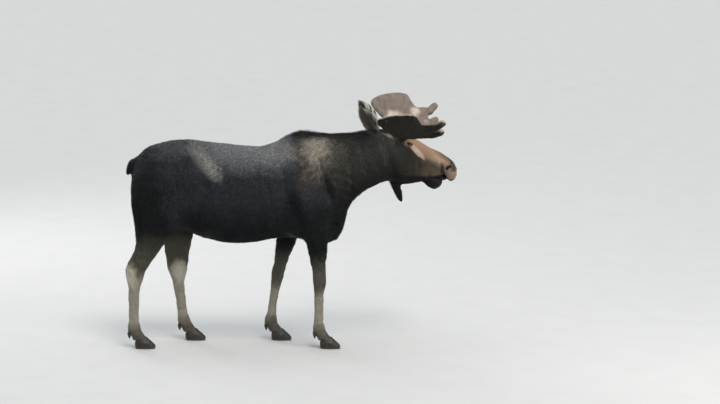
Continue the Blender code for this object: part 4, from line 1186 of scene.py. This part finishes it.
def makeMouth():
    x, z = mouthShape["place"]
    y = headTurn["middle"] + headTurn["slope"] * (x - headTurn["pivot"])
    bpy.ops.object.select_all(action="DESELECT")
    bpy.ops.mesh.primitive_uv_sphere_add(segments=64, ring_count=40, location=(x, y, z),
                                         rotation=(0, mouthShape["tilt"], 0))
    tongue = bpy.context.object
    tongue.scale = mouthShape["size"]
    tongue.name = "tongue"
    bpy.ops.object.transform_apply(location=True, rotation=True, scale=True)
    points, normals = shapeOf(tongue.data)
    (high, long), (deep, wide) = mouthShape["bumps"], mouthShape["groove"]
    lift = high * waves(points, long, 41) - deep * np.exp(-((points[:, 1] - y) / wide) ** 2)
    writePoints(tongue.data, points + normals * lift[:, None])
    tongue.data.shade_smooth()
    # the near-black colour is painted shade: the inside of the mouth between the lips
    paint = Paint("wetShadedMouth", 0.5, 0.2)
    grain = paint.noise(paint.place(), 160.0, 3.0)
    dark = tuple(0.5 * c for c in mouthShape["colour"])
    paint.send(paint.mix(dark, mouthShape["colour"], paint.ramp(grain, 0.3, 0.7)), "Base Color")
    paint.bump(grain, 0.002, 0.8)
    finished(tongue, paint.material)


makeMouth()


# antlers in velvet
antlerShape = {
    "voxel": 0.0035,
    "triangles": 62000,
    "grow": 0.0006,
    "rounds": 16,
    "veins": 0.0011,
    "uneven": ((0.0014, 0.09), (0.0007, 0.03)),  # height and length of the swellings
    "slope": math.radians(36),
    "fork": (0.92, 0.170, 1.785),
    "sink": 0.022,  # how far the roots run into the head
    "sinkWay": (-0.23, -0.93, -0.26),  # and which way, on the left
    "top": (0.200, 0.158, 0.130),
    # shadedUnder: the undersides, partly darker velvet, partly painted shade
    "shadedUnder": (0.013, 0.012, 0.009),
    # inner: a painted patch of sunlight on the lower, inner palm
    "inner": (0.560, 0.465, 0.380),
    # rim: painted highlight of backlit velvet along the edges
    "rim": (0.520, 0.420, 0.300),
    "root": (0.060, 0.050, 0.038),
}


def palmPlaces(q):  # outwards up the palm's slope, and how the ridges fan out from the fork
    x, out, z = (q - np.array(antlerShape["fork"])).T
    slope = antlerShape["slope"]
    climb = out * math.cos(slope) + z * math.sin(slope)
    return climb, np.arctan2(x, climb + 0.10) * 15 + 1.2 * waves(q, 0.16, 21)


def velvetPaint():
    paint = Paint("antlerVelvet", 0.78, 0.20)
    spot = paint.place()
    patch = paint.noise(spot, 9.0, 3.0)
    fuzz = paint.noise(spot, 300.0, 2.0)
    colour = antlerShape["top"]
    # over the velvet's colour: painted sunlight on the inner palm, painted shade underneath, painted rim
    # highlights, darker roots
    for title in ("inner", "shadedUnder", "rim", "root"):
        colour = paint.mix(colour, antlerShape[title], paint.attribute(title))
    vein = paint.attribute("vein")
    colour = paint.tinted(colour, (0.72 + patch * 0.55) * (0.9 + fuzz * 0.25) * (1 - vein * 0.14))
    paint.send(colour, "Base Color")
    paint.send(0.70 + fuzz * 0.2, "Roughness")
    paint.bump(fuzz + paint.noise(spot, 90.0, 2.0) * 0.6, 0.0022, 0.7)
    return paint.material


def makeAntlers():
    velvet = velvetPaint()
    for name, side in sides.items():
        nodes = [f"antler_{name}_{part}" for part in ("beam", "palm", "brow_outer", "brow_inner")]
        antler = copyOf(nodes, "antler" + name.title())
        grown(antler, antlerShape["grow"], antlerShape["voxel"])
        applied(antler, "SMOOTH", factor=0.5, iterations=antlerShape["rounds"])
        mesh = antler.data
        points, normals = shapeOf(mesh)
        q, _ = folded(points)
        climb, turn = palmPlaces(q)
        # soft ridges fan out from the fork, and the velvet swells unevenly
        fan = rise(climb, 0.0, 0.12)
        ridge = np.sin(turn) ** 2
        lift = antlerShape["veins"] * fan * (ridge - 0.5) * 2
        (high, long), (low, short) = antlerShape["uneven"]
        lift += high * waves(q, long, 22) + low * waves(q, short, 23)
        points += normals * lift[:, None]
        sunk = 1 - rise(q[:, 1], 0.130, 0.152)
        way = np.array(antlerShape["sinkWay"]) * (1, side, 1)
        points += way * (sunk * antlerShape["sink"])[:, None]
        writePoints(mesh, points)
        mesh.calc_loop_triangles()
        share = antlerShape["triangles"] / len(mesh.loop_triangles)
        if share < 1:
            applied(antler, "DECIMATE", ratio=share)
        mesh = antler.data
        mesh.shade_smooth()
        points, normals = shapeOf(mesh)
        q, _ = folded(points)
        climb, turn = palmPlaces(q)
        slope = antlerShape["slope"]
        # undersides darker: partly darker velvet, partly painted shade
        up = normals @ np.array((0, -side * math.sin(slope), math.cos(slope)))
        keep(mesh, "shadedUnder", rise(-up, -0.35, 0.45))
        # painted highlight of backlit velvet along the edges, weaker underneath
        rim = rise(standsOut(mesh, 0.030), 0.0036, 0.0085) * rise(climb, 0.03, 0.12)
        keep(mesh, "rim", rim * (1 - 0.80 * rise(-up, 0.0, 0.6)))
        keep(mesh, "root", 1 - rise(q[:, 1], 0.14, 0.19))
        # painted sunlight on the lower, inner part of the palm
        cloud = 0.05 * waves(q, 0.12, 24)
        sunlitPatch = between(climb + cloud, 0.02, 0.13, 0.11) * (1 - rise(q[:, 0] + cloud, 1.00, 1.12))
        keep(mesh, "inner", sunlitPatch)
        keep(mesh, "vein", (1 - np.sin(turn) ** 2) ** 3 * rise(climb, 0.0, 0.12))
        finished(antler, velvet)
        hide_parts(*nodes)
        report(f"{antler.name}: {len(mesh.polygons)} faces")


makeAntlers()


# eyes: sizes in metres
eyeTones = {"iris": (0.030, 0.014, 0.007), "ring": (0.008, 0.004, 0.003),
            "white": (0.060, 0.035, 0.024), "pupil": (0.0008, 0.0008, 0.001),
            "irisRadius": 0.0125, "pupilSize": (0.0078, 0.0046), "bulge": 0.0011}


def eyePaint():
    paint = Paint("wetEye", 0.08, 0.5, Coat_Weight=1.0, Coat_Roughness=0.02)
    along, up = paint.attribute("along"), paint.attribute("up")
    radius = (along ** 2 + up ** 2) ** 0.5
    grain = paint.noise(paint.place(), 260.0, 3.0)
    wide, tall = eyeTones["pupilSize"]
    pupil = paint.ramp((along / wide) ** 2 + (up / tall) ** 2, 0.85, 1.15)
    size = eyeTones["irisRadius"]
    iris = paint.mix(eyeTones["iris"], eyeTones["ring"], paint.ramp(radius, size * 0.72, size))
    iris = paint.tinted(iris, 0.6 + grain * 0.9)
    colour = paint.mix(iris, eyeTones["white"], paint.ramp(radius, size, size * 1.07))
    colour = paint.mix(eyeTones["pupil"], colour, pupil)
    paint.send(colour, "Base Color")
    paint.send(0.06 + paint.ramp(radius, size, size * 1.2) * 0.12, "Roughness")
    return paint.material


def makeEyes():
    wet = eyePaint()
    for name, side in sides.items():
        centre, radius = eyeCentre(side), eyeRadius()
        out, along, up = eyeAxes(side)
        bpy.ops.object.select_all(action="DESELECT")
        bpy.ops.mesh.primitive_uv_sphere_add(segments=72, ring_count=48, radius=radius, location=centre,
                                             rotation=Vector(out).to_track_quat("Z", "Y").to_euler())
        eye = bpy.context.object
        eye.name = "eyeball" + name.title()
        bpy.ops.object.transform_apply(location=True, rotation=True, scale=True)
        mesh = eye.data
        rel = readPoints(mesh) - centre
        share = np.degrees(np.arccos(np.clip(rel @ out / radius, -1, 1)))
        rel *= (1 + eyeTones["bulge"] / radius * (1 - rise(share, 20, 44)))[:, None]
        writePoints(mesh, rel + centre)
        keep(mesh, "along", rel @ along + 0.05 * (rel @ out < 0))
        keep(mesh, "up", rel @ up)
        mesh.shade_smooth()
        finished(eye, wet)
        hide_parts("eye_" + name)


makeEyes()


# hooves and dewclaws
hoofShape = {"voxel": 0.0026, "rings": 0.0006, "spacing": 0.0065, "lift": 0.020,
             # height and length of the unevenness, then the heights where a hoof narrows, and how much
             "uneven": (0.0007, 0.018), "unevenClaw": (0.0006, 0.02), "collar": (0.046, 0.072),
             "narrow": 0.30, "narrowClaw": 0.45,
             "horn": (0.022, 0.018, 0.014), "old": (0.055, 0.044, 0.032), "worn": (0.105, 0.088, 0.066)}


def hornPaint():
    paint = Paint("hoofHorn", 0.42, 0.45)
    spot = paint.place()
    x, y, z = paint.parts(spot)
    streaks = paint.noise(spot, 60.0, 3.0, (1.0, 1.0, 0.14))
    rings = paint.noise(spot, 45.0, 2.0, (0.12, 0.12, 2.4))
    colour = paint.mix(hoofShape["horn"], hoofShape["old"], paint.ramp(streaks, 0.42, 0.75) * 0.8)
    colour = paint.mix(colour, hoofShape["worn"], (1 - paint.ramp(z + streaks * 0.01, 0.004, 0.022)) * 0.75)
    colour = paint.tinted(colour, 0.75 + rings * 0.5)
    paint.send(colour, "Base Color")
    paint.send(0.30 + streaks * 0.3, "Roughness")
    paint.bump(rings + streaks * 0.35, 0.0012, 0.8)
    return paint.material


def hoofForm(points, normals):
    x, y, z = points.T
    wall = rise(z, 0.003, 0.012) * (1 - rise(np.abs(normals[:, 2]), 0.75, 0.95))
    slant = z + 0.10 * (x - x.mean()) + 0.0015 * waves(points, 0.05, 31)
    lift = hoofShape["rings"] * np.sin(slant * 2 * math.pi / hoofShape["spacing"]) * wall
    high, long = hoofShape["uneven"]
    lift += high * waves(points, long, 32) * wall
    points += normals * lift[:, None]
    # the upper edge runs up inside the skin, and the sole is flat on the floor
    top = rise(points[:, 2], *hoofShape["collar"])
    middle = points[points[:, 2] > 0.06].mean(0)
    points[:, :2] += (middle[:2] - points[:, :2]) * (hoofShape["narrow"] * top)[:, None]
    points[:, 2] += hoofShape["lift"] * top
    sole = 1 - rise(points[:, 2], 0.0012, 0.004)
    points[:, 2] *= 1 - sole
    points[:, 2] = np.maximum(points[:, 2], 0)
    return points


def dewclawForm(points, normals):  # they taper downwards and lie against the fetlock
    rings = np.sin(points[:, 2] * 2 * math.pi / hoofShape["spacing"])
    high, long = hoofShape["unevenClaw"]
    lift = hoofShape["rings"] * rings + high * waves(points, long, 33)
    points += normals * lift[:, None]
    middle = points.mean(0)
    low = rise(middle[2] - points[:, 2], -0.010, 0.028)
    points[:, 0] += (middle[0] - points[:, 0]) * hoofShape["narrowClaw"] * low + 0.009
    points[:, 2] += 0.004 - 0.010 * low
    return points


def makeHooves():
    horn = hornPaint()
    kinds = (("hoof", "hoof", 7, hoofForm), ("dewclaw", "dewclaws", 5, dewclawForm))
    for end in ("hind", "fore"):
        for name in sides:
            for node, title, rounds, form in kinds:
                nodes = [f"{node}_{end}_{name}_{toe}" for toe in ("outer", "inner")]
                piece = copyOf(nodes, f"{title}{end.title()}{name.title()}")
                applied(piece, "REMESH", mode="VOXEL", voxel_size=hoofShape["voxel"])
                applied(piece, "SMOOTH", factor=0.5, iterations=rounds)
                writePoints(piece.data, form(*shapeOf(piece.data)))
                piece.data.shade_smooth()
                finished(piece, horn)
                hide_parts(*nodes)
    report("hooves made")


makeHooves()

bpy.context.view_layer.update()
report("done")
